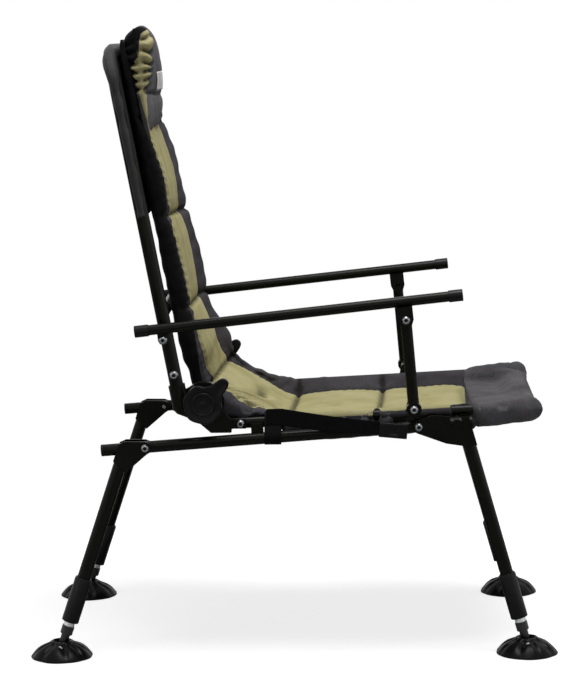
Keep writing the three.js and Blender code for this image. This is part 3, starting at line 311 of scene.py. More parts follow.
def hollows(rise: Array, spread: float = 5.0, full: float = 4.0) -> Array:
    """How far each place lies below the cloth round it, as the share of painted shade: 1 at the
    full depth in mm, or deeper.
    """
    level = blurred(blurred(rise, spread).T, spread).T
    return np.clip((level - rise) / full, 0, 1)


def swollen(points: Array, amount: Array) -> Array:
    """Moves rows of closed rings along their outward normals.

    Args:
        points: the rings, each with its first point repeated at its end, mm.
        amount: distance outwards for each point, mm.

    Returns:
        The moved points.
    """
    wide = np.concatenate([points[:, -2:-1], points, points[:, 1:2]], axis=1)
    around = (wide[:, 2:] - wide[:, :-2]) / 2
    normal = np.cross(around, np.gradient(points, axis=0))
    normal /= np.maximum(np.linalg.norm(normal, axis=-1, keepdims=True), 1e-9)
    if np.mean(np.sum(normal * (points - points.mean(axis=1, keepdims=True)), axis=-1)) < 0:
        normal = -normal
    return points + normal * amount[..., None]


def round_tubes(
    points: Array, upper: Array, clear: float = 12.8, outside: float = 5.0
) -> Array:
    """Keeps cloth outside the seat tubes that it wraps.

    Args:
        points: places, mm, in the last axis.
        upper: whether each place is on the cloth's upper face.
        clear: least distance from a tube's axis, mm.
        outside: distance outside the axis from where the cloth goes round the tube, and not over
            or under it, mm.

    Returns:
        The places, with those too near a tube moved out.
    """
    moved = points.copy()
    x, wide = points[..., 0], np.abs(points[..., 1])
    inward = np.clip(x - SEAT_CORNER[0], 0, None)
    turn = (x > SEAT_CORNER[0]) & (wide > SEAT_CORNER[1])
    front = (x > SEAT_CORNER[0]) & (wide <= SEAT_CORNER[1])
    reach = np.hypot(inward, wide - SEAT_CORNER[1])
    straight = np.where(front, inward - SEAT_BEND, wide - SEAT_TUBE_Y)
    over = np.where(turn, reach - SEAT_BEND, straight)
    up = points[..., 2] - seat_height(x)
    gap = np.hypot(over, up)
    here = (x > SEAT_REAR) & (np.abs(over) < clear)
    outer = here & (gap < clear) & (over > outside)
    push = clear / np.maximum(gap, 1) - 1
    side = np.where(outer, over * push, 0)
    rise = np.where(outer, up * push, 0)
    lift = np.sqrt(np.clip(clear**2 - over**2, 0, None))
    rise = np.where(here & ~outer & upper, np.maximum(lift - up, 0), rise)
    rise = np.where(here & ~outer & ~upper, np.minimum(-lift - up, 0), rise)
    ahead = np.where(turn, inward / np.maximum(reach, 1), np.where(front, 1.0, 0.0))
    aside = np.where(
        turn, (wide - SEAT_CORNER[1]) / np.maximum(reach, 1), np.where(front, 0.0, 1.0)
    )
    moved[..., 0] += side * ahead
    moved[..., 1] += side * aside * np.sign(points[..., 1])
    moved[..., 2] += rise
    return moved


def keep_mesh(name: str, mesh: Shape, smooth: bool = True) -> Piece:
    """Turns a finished bmesh into an object at the origin.

    Args:
        name: the piece's name.
        mesh: the shape, in metres.
        smooth: whether its faces are shaded smooth.

    Returns:
        The object.
    """
    for face in mesh.faces:
        face.smooth = smooth
    data = bpy.data.meshes.new(name)
    mesh.to_mesh(data)
    mesh.free()
    piece = bpy.data.objects.new(name, data)
    bpy.context.scene.collection.objects.link(piece)
    return piece


def round_edges(mesh: Shape, sharp: float, width: float, segments: int = 2) -> None:
    """Rounds the edges that turn more than an angle.

    Args:
        mesh: the shape, in metres.
        sharp: the angle, radians.
        width: width of the round, mm.
        segments: its steps.
    """
    edges = [e for e in mesh.edges if len(e.link_faces) == 2 and e.calc_face_angle() > sharp]
    if edges:
        bmesh.ops.bevel(
            mesh, geom=edges, offset=width * MM, offset_type="OFFSET", segments=segments,
            profile=0.5, affect="EDGES", material=-1, clamp_overlap=True,
        )


def raise_disc(mesh: Shape, height: float) -> None:
    """Gives a flat shape a thickness along Z.

    Args:
        mesh: the flat shape.
        height: the thickness, metres.
    """
    raised = bmesh.ops.extrude_face_region(mesh, geom=list(mesh.faces))
    tops = [v for v in raised["geom"] if isinstance(v, bmesh.types.BMVert)]
    bmesh.ops.translate(mesh, vec=(0, 0, height), verts=tops)


def cloth_grid(
    name: str,
    points: Array,
    cut: tuple[float, float],
    fields: dict[str, Array] | None = None,
    closed: bool = True,
    capped: bool = True,
) -> Piece:
    """Makes a grid of cloth that follows rows of points, with a UV map in metres.

    Args:
        name: the piece's name.
        points: rows of points, mm.
        cut: the cloth's size across and along, mm.
        fields: values kept on the vertices, by name.
        closed: whether each row is a closed ring.
        capped: whether the open ends are closed.

    Returns:
        The object.
    """
    rows, columns = points.shape[0] - 1, points.shape[1] - 1
    mesh = bmesh.new()
    mesh.loops.layers.uv.new("cloth")
    layers = {key: mesh.verts.layers.float.new(key) for key in fields or {}}
    bmesh.ops.create_grid(mesh, x_segments=columns, y_segments=rows, size=0.5, calc_uvs=True)
    for vertex in mesh.verts:
        i = round((vertex.co.x + 0.5) * columns)
        j = round((vertex.co.y + 0.5) * rows)
        vertex.co = points[j, i] * MM
        for key, layer in layers.items():
            vertex[layer] = fields[key][j, i]
    if closed:
        bmesh.ops.remove_doubles(mesh, verts=mesh.verts, dist=2e-5)
        if capped:
            edges = [edge for edge in mesh.edges if edge.is_boundary]
            bmesh.ops.holes_fill(mesh, edges=edges, sides=0)
        bmesh.ops.recalc_face_normals(mesh, faces=mesh.faces)
    piece = keep_mesh(name, mesh)
    uv = piece.data.uv_layers["cloth"].data
    values = np.empty(len(uv) * 2, np.float32)
    uv.foreach_get("uv", values)
    values = values.reshape(-1, 2) * np.array(cut, np.float32) * MM
    uv.foreach_set("uv", values.ravel())
    return piece


def thicken(piece: Piece, name: str, thick: float, offset: float = 0.0) -> None:
    """Gives a sheet its thickness.

    Args:
        piece: the sheet.
        name: the modifier's name.
        thick: the thickness, mm.
        offset: 0 to thicken both ways, or 1 outwards.
    """
    wall = piece.modifiers.new(name, "SOLIDIFY")
    wall.thickness = thick * MM
    wall.offset = offset


def spun(
    name: str, profile: Sequence[tuple[float, float]], matrix: Matrix, steps: int = 48,
    sharp: float = 32,
) -> Piece:
    """Turns a profile about the Z axis and puts it in its place.

    Args:
        name: the piece's name.
        profile: radius and height of each corner, mm, from one end of the axis to the other.
        matrix: the place and direction of the axis, in metres.
        steps: facets round the axis.
        sharp: edges that turn more than this many degrees get a small round.

    Returns:
        The object.
    """
    mesh = bmesh.new()
    corners = [mesh.verts.new((radius * MM, 0, height * MM)) for radius, height in profile]
    edges = [mesh.edges.new(pair) for pair in zip(corners, corners[1:])]
    bmesh.ops.spin(
        mesh, geom=corners + edges, cent=(0, 0, 0), axis=(0, 0, 1), angle=TURN,
        steps=steps, use_merge=True, use_duplicate=False,
    )
    bmesh.ops.remove_doubles(mesh, verts=mesh.verts, dist=1e-6)
    bmesh.ops.dissolve_degenerate(mesh, dist=1e-7, edges=mesh.edges)
    bmesh.ops.recalc_face_normals(mesh, faces=mesh.faces)
    round_edges(mesh, math.radians(sharp), 0.35)
    bmesh.ops.transform(mesh, matrix=matrix, verts=mesh.verts)
    return keep_mesh(name, mesh)


def axis_matrix(place: Sequence[float], heading: Sequence[float]) -> Matrix:
    """The matrix, in metres, that takes the Z axis to a place in mm and a heading."""
    turn = Vector((0, 0, 1)).rotation_difference(Vector(heading).normalized())
    return Matrix.Translation(Vector(place) * MM) @ turn.to_matrix().to_4x4()


def ribbon(name: str, line: Array, wide: Array, thick: float, closed: bool = False) -> Piece:
    """Makes a flat strap of webbing along a line.

    Args:
        name: the piece's name.
        line: the strap's middle line, mm.
        wide: half its width as a vector at each point, mm.
        thick: its thickness, mm.
        closed: whether the line is a loop, with its first point repeated at its end.

    Returns:
        The object.
    """
    shares = np.linspace(-1, 1, 9)
    points = line[:, None, :] + shares[None, :, None] * wide[:, None, :]
    cut = (float(np.linalg.norm(wide[0])) * 2, float(run_length(line)[-1]))
    if closed:
        points, cut = np.swapaxes(points, 0, 1), cut[::-1]
    piece = cloth_grid(name, points, cut, closed=closed, capped=False)
    thicken(piece, "webbing", thick)
    edge = piece.modifiers.new("woven_edge", "BEVEL")
    edge.width = 0.4 * MM
    edge.segments = 2
    edge.limit_method = "ANGLE"
    return piece


def tie(piece: Piece, look: bpy.types.Material, body: str) -> None:
    """Gives a piece its material and ties it to a body.

    Args:
        piece: the piece.
        look: its material.
        body: the body that it rides on.
    """
    piece.data.materials.append(look)
    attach(piece, body)


# ---------------------------------------------------------------- finishes


def linear(code: str) -> tuple[float, float, float, float]:
    """Turns an sRGB hex colour, such as "#808080", to linear red, green, blue and alpha."""
    values = [int(code[k : k + 2], 16) / 255 for k in (1, 3, 5)]
    return (*(v / 12.92 if v <= 0.04045 else ((v + 0.055) / 1.055) ** 2.4 for v in values), 1.0)


def add_node(
    tree: Tree,
    kind: str,
    links: dict[str | int, Socket] | None = None,
    values: dict[str | int, object] | None = None,
    **settings: object,
) -> bpy.types.Node:
    """Adds a shader node with its settings, values and links.

    Args:
        tree: the material's nodes.
        kind: the node's type, without the words that all types start with.
        links: what feeds each input.
        values: the fixed inputs.
        **settings: the node's own properties.

    Returns:
        The node.
    """
    node = tree.nodes.new(f"ShaderNode{kind}")
    for key, value in settings.items():
        setattr(node, key, value)
    for key, value in (values or {}).items():
        node.inputs[key].default_value = value
    for key, socket in (links or {}).items():
        tree.links.new(socket, node.inputs[key])
    return node


def bare_tree(owner: bpy.types.Material | bpy.types.World) -> Tree:
    """Empties the nodes of a material or a world.

    Args:
        owner: the material or the world.

    Returns:
        Its node tree.
    """
    owner.use_nodes = True
    owner.node_tree.nodes.clear()
    return owner.node_tree


@dataclass(frozen=True)
class Finish:
    """What every finish has: the material's name, its colours and its gloss."""

    name: str
    colour: str
    second: str
    roughness: float
    metallic: float = 0.0
    specular: float = 0.5
    sheen: float = 0.0

    def nodes(self) -> tuple[bpy.types.Material, Tree, bpy.types.Node]:
        """Starts the material.

        Returns:
            The material, its node tree and its Principled shader.
        """
        material = bpy.data.materials.new(self.name)
        tree = bare_tree(material)
        values = {
            "Base Color": linear(self.colour), "Roughness": self.roughness,
            "Metallic": self.metallic, "Specular IOR Level": self.specular,
        }
        if self.sheen:
            values |= {
                "Sheen Weight": self.sheen, "Sheen Roughness": 0.45,
                "Sheen Tint": linear(self.second),
            }
        shader = add_node(tree, "BsdfPrincipled", values=values)
        add_node(tree, "OutputMaterial", {"Surface": shader.outputs[0]})
        return material, tree, shader


@dataclass(frozen=True)
class MouldedFinish(Finish):
    """A hard finish with a fine skin: powder coat, moulded nylon, zinc plate or moulded rubber.

    The skin is a fine bump, and a larger mottle varies the colour and the gloss a little, as
    handling and dust do.
    """

    skin: float = 1.2
    skin_depth: float = 0.03
    mottle: float = 45.0
    gloss_spread: float = 0.06

    def material(self) -> bpy.types.Material:
        """Builds the finish.

        Returns:
            The material.
        """
        material, tree, shader = self.nodes()
        place = add_node(tree, "TexCoord").outputs["Object"]
        cloud = add_node(
            tree, "TexNoise", {"Vector": place}, {"Scale": 1000 / self.mottle, "Detail": 4.0}
        ).outputs["Fac"]
        tint = add_node(
            tree, "Mix", {0: cloud}, {6: linear(self.colour), 7: linear(self.second)},
            data_type="RGBA",
        )
        gloss = add_node(tree, "MapRange", {"Value": cloud}, {
            "From Min": 0.3, "From Max": 0.7, "To Min": self.roughness - self.gloss_spread,
            "To Max": self.roughness + self.gloss_spread,
        })
        grain = add_node(
            tree, "TexNoise", {"Vector": place}, {"Scale": 1000 / self.skin, "Detail": 2.0}
        )
        bump = add_node(
            tree, "Bump", {"Height": grain.outputs["Fac"]},
            {"Strength": 0.5, "Distance": self.skin_depth * MM},
        )
        for source, name in (
            (tint.outputs[2], "Base Color"), (gloss.outputs[0], "Roughness"),
            (bump.outputs[0], "Normal"),
        ):
            tree.links.new(source, shader.inputs[name])
        return material


def weave_bump(tree: Tree, uv: Socket, pitch: float, depth: float, crumple: float) -> Socket:
    """The bump of a plain weave with soft creases.

    Args:
        tree: the material's nodes.
        uv: the cloth's own UV, metres.
        pitch: thread spacing, mm.
        depth: height of a thread, mm.
        crumple: height of the creases, mm.

    Returns:
        The normal's socket.
    """
    # A wave texture of scale 1 has a band every 1 / 3.18
    scale = 1000 / pitch / 3.18
    warp, weft = (
        add_node(
            tree, "TexWave", {"Vector": uv}, {"Scale": scale, "Distortion": 0.4},
            wave_type="BANDS", bands_direction=direction,
        ).outputs["Fac"]
        for direction in ("X", "Y")
    )
    threads = add_node(tree, "Math", {0: warp, 1: weft}, operation="MULTIPLY")
    fine = add_node(
        tree, "Bump", {"Height": threads.outputs[0]}, {"Strength": 0.8, "Distance": depth * MM}
    )
    creases = add_node(
        tree, "TexNoise", {"Vector": add_node(tree, "TexCoord").outputs["Object"]},
        {"Scale": 1000 / 26, "Detail": 3.0, "Distortion": 0.6},
    )
    return add_node(
        tree, "Bump", {"Height": creases.outputs["Fac"], "Normal": fine.outputs[0]},
        {"Strength": 0.7, "Distance": crumple * MM},
    ).outputs[0]


def cloth_colour(tree: Tree, colour: str, second: str, uv: Socket) -> Socket:
    """A cloth's colour, uneven over the yarn and over broad faded patches.

    Args:
        tree: the material's nodes.
        colour: the main colour.
        second: the colour of the worn or lint-covered yarn.
        uv: the cloth's own UV, metres.

    Returns:
        The colour's socket.
    """
    # The yarn varies over about 2.4 mm, and the fading over 70 mm
    yarn = add_node(
        tree, "TexNoise", {"Vector": uv}, {"Scale": 420.0, "Detail": 2.0, "Roughness": 0.7}
    )
    patch = add_node(
        tree, "TexNoise", {"Vector": add_node(tree, "TexCoord").outputs["Object"]},
        {"Scale": 14.0, "Detail": 3.0},
    )
    both = add_node(
        tree, "Math", {0: yarn.outputs["Fac"], 1: patch.outputs["Fac"]}, operation="MULTIPLY"
    )
    share = add_node(
        tree, "MapRange", {"Value": both.outputs[0]}, {"From Min": 0.12, "From Max": 0.42}
    )
    return add_node(
        tree, "Mix", {0: share.outputs[0]}, {6: linear(colour), 7: linear(second)},
        data_type="RGBA",
    ).outputs[2]


@dataclass(frozen=True)
class ClothFinish(Finish):
    """A woven polyester: threads on the cloth's own UV, fine creases and a slight bloom of lint.

    Thread spacing is about 0.5 mm on the real cloth. It is drawn coarser, at pitch, so that it
    shows at the size of the render.
    """

    pitch: float = 2.2
    depth: float = 0.25
    crumple: float = 1.6

    def colour_of(self, tree: Tree, uv: Socket) -> Socket:
        """The socket of the cloth's colour."""
        return cloth_colour(tree, self.colour, self.second, uv)

    def material(self) -> bpy.types.Material:
        """Builds the cloth.

        Returns:
            The material.
        """
        material, tree, shader = self.nodes()
        uv = add_node(tree, "UVMap", uv_map="cloth").outputs[0]
        bump = weave_bump(tree, uv, self.pitch, self.depth, self.crumple)
        tree.links.new(self.colour_of(tree, uv), shader.inputs["Base Color"])
        tree.links.new(bump, shader.inputs["Normal"])
        return material


@dataclass(frozen=True)
class MattressCloth(ClothFinish):
    """The mattress cover: brushed olive panels in a charcoal border, with black mesh behind.

    The panels' edges come from the vertex value "panel", and the mesh's edge from "rear", both
    in millimetres from the seam. Painted shade darkens the folds and channels where they lie
    low, as the vertex value "hollow" marks from 0 to 1.
    """

    pitch: float = 2.4
    depth: float = 0.22
    crumple: float = 1.5
    olive: str = "#9F9869"
    olive_light: str = "#BBB48B"
    mesh: str = "#0B0B0C"
    # The colour and the strength of the painted shade in the folds and channels
    flat_pile: str = "#17160F"
    shade: float = 0.7

    def colour_of(self, tree: Tree, uv: Socket) -> Socket:
        """Colours the border, the panels, the mesh and the folds.

        Args:
            tree: the material's nodes.
            Colours the border, the panels and the mesh, and paints shade into the folds.

        Returns:
            The colour's socket.
        """
        edges = {
            key: add_node(
                tree, "Attribute", attribute_name=key, attribute_type="GEOMETRY"
            ).outputs["Fac"]
            for key in ("panel", "rear", "hollow")
        }
        seam = {"From Min": 0.2, "From Max": 1.2}
        panel = add_node(tree, "MapRange", {"Value": edges["panel"]}, seam).outputs[0]
        rear = add_node(tree, "MapRange", {"Value": edges["rear"]}, seam).outputs[0]
        # Painted shade: the vertex value "hollow" times shade darkens the folds and channels
        dark = add_node(
            tree, "Math", {0: edges["hollow"]}, {1: self.shade}, operation="MULTIPLY"
        ).outputs[0]
        last = add_node(tree, "Mix", {
            0: panel, 6: super().colour_of(tree, uv),
            7: cloth_colour(tree, self.olive, self.olive_light, uv),
        }, data_type="RGBA").outputs[2]
        for share, over in ((rear, self.mesh), (dark, self.flat_pile)):
            last = add_node(
                tree, "Mix", {0: share, 6: last}, {7: linear(over)}, data_type="RGBA"
            ).outputs[2]
        return last


@dataclass(frozen=True)
class SlidingLeg(MouldedFinish):
    """The inner leg: bright zinc tube above a black moulded collar and neck.

    The change lies at a height along the leg, read from Object coordinates.
    """

    black: str = "#141416"
    along: tuple[float, float, float] = (0.0, 0.0, 1.0)
    start: float = 0.0

    def material(self) -> bpy.types.Material:
        """Builds the finish.

        Returns:
            The material.
        """
        material = super().material()
        tree = material.node_tree
        shader = next(node for node in tree.nodes if node.type == "BSDF_PRINCIPLED")
        place = add_node(tree, "TexCoord").outputs["Object"]
        height = add_node(
            tree, "VectorMath", {0: place}, {1: self.along}, operation="DOT_PRODUCT"
        ).outputs["Value"]
        share = add_node(
            tree, "Math", {0: height}, {1: self.start * MM}, operation="GREATER_THAN"
        ).outputs[0]
        bright = shader.inputs["Base Color"].links[0].from_socket
        mix = add_node(
            tree, "Mix", {0: share, 7: bright}, {6: linear(self.black)}, data_type="RGBA"
        )
        tree.links.new(mix.outputs[2], shader.inputs["Base Color"])
        tree.links.new(share, shader.inputs["Metallic"])
        return material


# Powder coat over steel: a satin olive-black skin with a slight orange peel, 3 mm across
POWDER_COAT = MouldedFinish(
    "powder_coated_steel", "#0B0C09", "#14150F", 0.27, specular=0.1, skin=3.0, skin_depth=0.08,
    mottle=60,
)
# Moulded nylon: a fine spark-eroded texture that dulls the highlights
NYLON = MouldedFinish(
    "moulded_black_nylon", "#09090B", "#121214", 0.36, specular=0.14, skin=1.6, skin_depth=0.05,
    mottle=30,
)
# Zinc plate on steel: a bright bluish grey with soft plating clouds
ZINC = MouldedFinish(
    "bright_zinc_plated_steel", "#96989B", "#707376", 0.3, metallic=1.0, skin=1.0,
    skin_depth=0.02, mottle=8,
)
# Flexible PVC of the mud feet: glossy black, with flow marks
FOOT_PVC = MouldedFinish(
    "moulded_black_pvc", "#060607", "#0C0C0D", 0.34, specular=0.08, skin=5.0, skin_depth=0.25,
    mottle=22, gloss_spread=0.1,
)
# 600 denier polyester: dark warm grey, with a soft dry bloom on the folds
MATTRESS_CLOTH = MattressCloth(
    "quilted_polyester", "#363438", "#525055", 0.85, specular=0.12, sheen=0.06
)
# The same cloth on the pillow, made paler than the mattress's border as painted light on the better
# lit pillow
PILLOW_CLOTH = MattressCloth(
    "brushed_pillow_polyester", "#4B494C", "#6B696C", 0.85, specular=0.12, sheen=0.06
)
# The plain cloth of the front pocket, a little drier than the cover
CHARCOAL = ClothFinish(
    "woven_charcoal_polyester", "#403E41", "#605E61", 0.82, specular=0.14, sheen=0.06
)
# Coated black polyester of the hood: darker, and a little glossier than the cover
HOOD_CLOTH = ClothFinish(
    "coated_black_polyester", "#1B1B1D", "#37373A", 0.5, specular=0.22, sheen=0.03, crumple=2.6
)
# Polypropylene webbing: black ribs across its width
WEBBING = ClothFinish(
    "black_polypropylene_webbing", "#060607", "#0D0D0E", 0.6, specular=0.05, pitch=3.2,
    depth=0.35, crumple=0.4,
)
# Satin label cloth, left blank
LABEL = ClothFinish(
    "blank_satin_label", "#BDBBBA", "#D0CECC", 0.45, pitch=1.8, depth=0.05, crumple=0.5
)


# ---------------------------------------------------------------- the cloth pieces

# Numbers of a mattress section's control points: its far seam, and where its underside starts
# and ends
FAR_SEAM = 9
UNDERSIDE = (13.5, 28.4)


class Assembly:
    """What every sub-assembly does: it builds its pieces, dresses them and logs them."""

    def make(self) -> None:
        """Makes the finished pieces."""
        pieces = self.build()
        self.dress(pieces)
        for piece in pieces:
            corners, faces = len(piece.data.vertices), len(piece.data.polygons)
            LOG.info("%s: %d vertices, %d faces", piece.name, corners, faces)


@dataclass(frozen=True)
class Section:
    """One cross section of the mattress: heights are above the path, and rear and rim below it."""

    run: Run
    where: float
    half: float
    seam_y: float
    seam: float
    roll: float
    crown: float
    peak: float
    rear: float
    rim: float
    far: float = 192.0
    back_valley: float = -8.0

    def controls(self) -> Array:
        """The section's control points, from the near seam over the top to the far border.

        Returns:
            Y and height of each point, mm.
        """
        half, seam_y, seam, far = self.half, self.seam_y, self.seam, self.far
        crown, peak, rear, rim = self.crown, self.peak, self.rear, self.rim
        top = seam + self.roll
        mid = (peak + rim) / 2
        near_mid = (seam + rim) / 2
        valley = self.back_valley if self.run is Run.BACK else 0.0
        return np.array([
            # The near seam and the panels
            (seam_y, seam), (seam_y + 11, top), (seam_y + 42, crown + (top - crown) * 0.35),
            (-105, crown + 1), (-40, crown), (30, crown), (90, crown * 0.9 + valley * 0.25),
            (145, crown * 0.8 + 1 + valley * 0.8), (far - 12, 3 + valley), (far, valley),
            # The far border
            (far + 8, peak * 0.42 + valley * 0.6), (half - 24, peak * 0.93), (half - 15, peak),
            (half - 5, peak * 0.84 + mid * 0.16), (half - 0.5, peak * 0.45 + mid * 0.55),
            (half, mid), (half - 1.2, mid * 0.4 + rim * 0.6), (half - 8, rim + 1.5),
            # The underside, and up the near border
            (half - 18, rim), (half - 42, (rim + rear) / 2), (110, rear), (0, rear), (-110, rear),
            (42 - half, (rim + rear) / 2), (18 - half, rim), (8 - half, rim + 1.5),
            (1.2 - half, near_mid * 0.4 + rim * 0.6), (-half, near_mid),
            (-half + 0.25 * (half + seam_y), near_mid * 0.35 + seam * 0.65),
        ], float)


def seat_section(where: float, *sizes: float) -> Section:
    """A section of the mattress on the seat, by X."""
    return Section(Run.SEAT, where, *sizes)


def back_section(where: float, *sizes: float) -> Section:
    """A section of the mattress on the back, by height above the pivot."""
    return Section(Run.BACK, where, *sizes)


def round_end(height: Array, edge: Array, reach: float, most: float, middle: float = -4.0) -> Array:
    """Closes padding in over a small round at its end.

    Args:
        height: the section's heights, mm, by row and column.
        edge: distance of each row from the end, mm.
        reach: length of the round, mm.
        most: how much of the round is used, 0 to 1.
        middle: the height that it closes on, mm.

    Returns:
        The heights.
    """
    share = np.sqrt(1 - np.clip(1 - edge / reach, 0, most) ** 2)
    return middle + (height - middle) * share[:, None]


@dataclass(frozen=True)
class LongFolds:
    """Folds that run up the mattress, with each one's place across it and its depth, mm."""

    folds: Pairs
    slope: float
    groove: float
    lip: float
    wander: float
    size: float
    seed: int

    def rise(self, points: Array, across: Array, past: Array) -> Array:
        """The padding's rise from the folds.

        Args:
            points: the smooth surface.
            across: length round the section from the near seam, mm.
            past: length along the mattress from where the folds' places are given, mm.

        Returns:
            Distance outwards, mm.
        """
        stray = self.wander * waves(points, self.size, self.seed)
        return sum(
            fold(across - place - self.slope * past + stray, depth, self.groove, self.lip, 6, 0.5)
            for place, depth in self.folds
        )


@dataclass
class Layout:
    """Where each place of the mattress lies on its cloth, in mm.

    Across is the length round the section from the near seam, along the length from the front,
    far the far seam, seams the lines across the mattress, and upper 1 on the upper face.
    """

    across: Array
    along: Array
    upper: Array
    seams: list[float]
    far: float


@dataclass
class Mattress(Assembly):
    """The one-piece mattress from the front pocket over the bend to the head.

    The skew is how much further forward its lines run on the far side. The pulls are the folds
    over the bend: angle in radians, depth and length in mm.
    """

    columns: int = 250
    rows: int = 352
    typical: int = 3
    skew: float = 0.045
    corner: float = 26.0
    near_corner: float = 7.0
    back_corner: float = 30.0
    far_border: float = 80.0
    bend: tuple[float, float] = (-2, -133)
    pulls: tuple[tuple[float, float, float], ...] = (
        (0.1, 5.0, 210), (0.25, 17.0, 420), (0.43, 10.0, 320), (0.66, 10.0, 260),
        (0.92, 11.0, 240), (1.18, 9.0, 260),
    )
    puff: float = 9.0
    channel: Stitching = Stitching(3.4, 4.5, pucker=1.1, reach=16, pitch=17, stray=2.2)
    seam: Stitching = Stitching(2.0, 3.6, pucker=0.8, reach=13, pitch=15, stray=2.6)
    back_folds: LongFolds = LongFolds(
        ((46, 2.6), (78, 3.4), (131, 2.2), (205, 1.6)), 0.09, 4.2, 9, 6, 150, 13
    )
    low_folds: LongFolds = LongFolds(
        ((22, 4.0), (47, 6.0), (80, 4.5), (118, 4.0), (170, 3.0)), 0.12, 4.5, 10, 5, 90, 17
    )
    bend_path: Pairs = (
        (344, 438.3), (250, 434.1), (120, 428.2), (40, 424.5), (5, 423.0), (-24, 428), (-50, 445),
        (-84, 466), (-122, 488), (-152, 514),
    )
    back_path: Pairs = (
        (70, 3), (110, 0), (165, -5), (250, -5), (340, -8), (420, -9), (490, -14), (560, -16),
        (640, -16), (678, -15),
    )
    sections: tuple[Section, ...] = (
        seat_section(344, 232, -228, 12, 13, 4, 25, -21, -21),
        seat_section(210, 232.4, -229, 12, 14, 4, 26, -21, -21),
        seat_section(195, 236, -231, 13, 14, 5, 27, -22, -22),
        seat_section(10, 236, -231, 14, 14, 5, 27, -22, -22),
        seat_section(-10, 236, -229, 17, 11, 4, 28, -20, -20),
        seat_section(-23, 232, -221, 21, 6, 3, 29, -18, 20),
        seat_section(-36, 229, -212, 16, 4, 3, 25, -18, 13),
        seat_section(-50, 227, -206, 9, 3, 3, 18, -18, 5),
        seat_section(-84, 225, -203, 1, 4, 3, 9, -19, -28),
        seat_section(-100, 225, -203, 2, 4, 4, 11, -20, -40),
        seat_section(-118, 225, -204, 2, 4, 5, 15, -22, -52),
        seat_section(-144, 226, -208, 5, 6, 10, 26, -24, -42),
        back_section(60, 230, -214, 8, 7, 17, 32, -24, -24),
        back_section(85, 238, -224, 12, 7, 21, 26, -26, -26),
        back_section(114, 243, -230, 12, 4, 16, 15, -26, -26),
        back_section(165, 244, -231, 15, 3, 12, 17, -22, -22),
        back_section(250, 244, -231, 13, 4, 12, 15, -22, -22),
        back_section(340, 244, -231, 13, 4, 12, 14, -19, -19),
        back_section(420, 244, -231, 16, 3, 12, 9, -18, -18),
        back_section(490, 244, -231, 12, 3, 10, 10, -13, -13),
        back_section(600, 242, -229, 4, 2, 4, 6, -11, -11),
        back_section(678, 236, -224, 2, 1, 2, 3, -10, -10),
    )
    seat_seams: tuple[float, ...] = (335, 169, -1, -140)
    back_seams: tuple[float, ...] = (166, 339, 522)

    def path(self) -> Array:
        """The path of the mattress's face.

        Returns:
            X, Z and the length from the front, mm, for each row.
        """
        up, forward = np.array(self.back_path, float).T
        back = np.stack(back_place(forward, up), axis=1)
        corners = np.concatenate([np.array(self.bend_path, float), back])
        run = run_length(corners)
        steps = np.linspace(0, run[-1], self.rows + 1)
        line = np.stack([np.interp(steps, run, corners[:, k]) for k in (0, 1)], axis=1)
        line = blurred(line, 10.0 / (run[-1] / self.rows))
        return np.column_stack([line, run_length(line)])

    def length_at(self, path: Array, run: Run, where: float) -> float:
        """Length along the path at a place.

        Args:
            path: the path's rows.
            run: whether the place is on the seat or on the back.
            where: X on the seat, or height above the pivot on the back, mm.

        Returns:
            The length from the front, mm.
        """
        if run is Run.SEAT:
            return float(np.interp(-where, -path[:, 0], path[:, 2]))
        up = -(path[:, 0] - PIVOT[0]) * math.sin(LEAN) + (path[:, 1] - PIVOT[1]) * math.cos(LEAN)
        return float(np.interp(where, up, path[:, 2]))

    def curves(self, length: Array, stations: Array, places: Array) -> Array:
        """The section at each row of the path.

        Args:
            length: the rows' length from the front, mm.
            stations: the length at each given section, mm.
            places: places on the section, counted in control points.

        Returns:
            Y and height above the path, mm, by row and place.
        """
        rings = np.array([section.controls() for section in self.sections])
        flat = rings.reshape(len(rings), -1).T
        controls = np.stack([np.interp(length, stations, column) for column in flat], axis=1)
        controls = blurred(controls, 6.0 / (length[-1] / self.rows))
        curve = closed_curve(controls.reshape(len(length), -1, 2), places)
        curve[..., 1] = round_end(curve[..., 1], length, 13, 0.93)
        curve[..., 1] = round_end(curve[..., 1], length[-1] - length, 16, 0.93)
        return curve

    def build(self) -> list[Piece]:
        """Makes the mattress.

        Returns:
            The object, in a list.
        """
        path = self.path()
        length = path[:, 2]
        stations = np.array([self.length_at(path, s.run, s.where) for s in self.sections])
        places, around = even_places(self.sections[self.typical].controls(), self.columns)
        curve = self.curves(length, stations, places)
        tangent = np.gradient(path[:, :2], axis=0)
        tangent /= np.linalg.norm(tangent, axis=1, keepdims=True)
        normal = np.column_stack([tangent[:, 1], -tangent[:, 0]])
        placed = path[:, None, :2] + curve[..., 1:] * normal[:, None]
        points = np.stack([placed[..., 0], curve[..., 0], placed[..., 1]], axis=-1)

        perimeter = around[-1]
        far = float(np.interp(FAR_SEAM, places, around))
        across = np.where(around > (far + perimeter) / 2 + 60, around - perimeter, around)
        across = np.broadcast_to(across, curve.shape[:2])
        # The upper face fades out over the near roll and over the far border
        past_far = np.where(across > far, 1 - (across - far - 50) / 22, 1)
        upper = np.clip(np.where(across < 0, 1 + across / 30, past_far), 0, 1)
        seams = [self.length_at(path, Run.SEAT, x) for x in self.seat_seams]
        seams += [self.length_at(path, Run.BACK, up) for up in self.back_seams]
        along = length[:, None] + self.skew * curve[..., 0]
        layout = Layout(across, along, upper, seams, far)

        panel = self.panels(layout)
        rise = self.quilting(points, layout, panel)
        bend = tuple(self.length_at(path, Run.SEAT, x) for x in self.bend)
        rise += self.bend_folds(layout, bend)
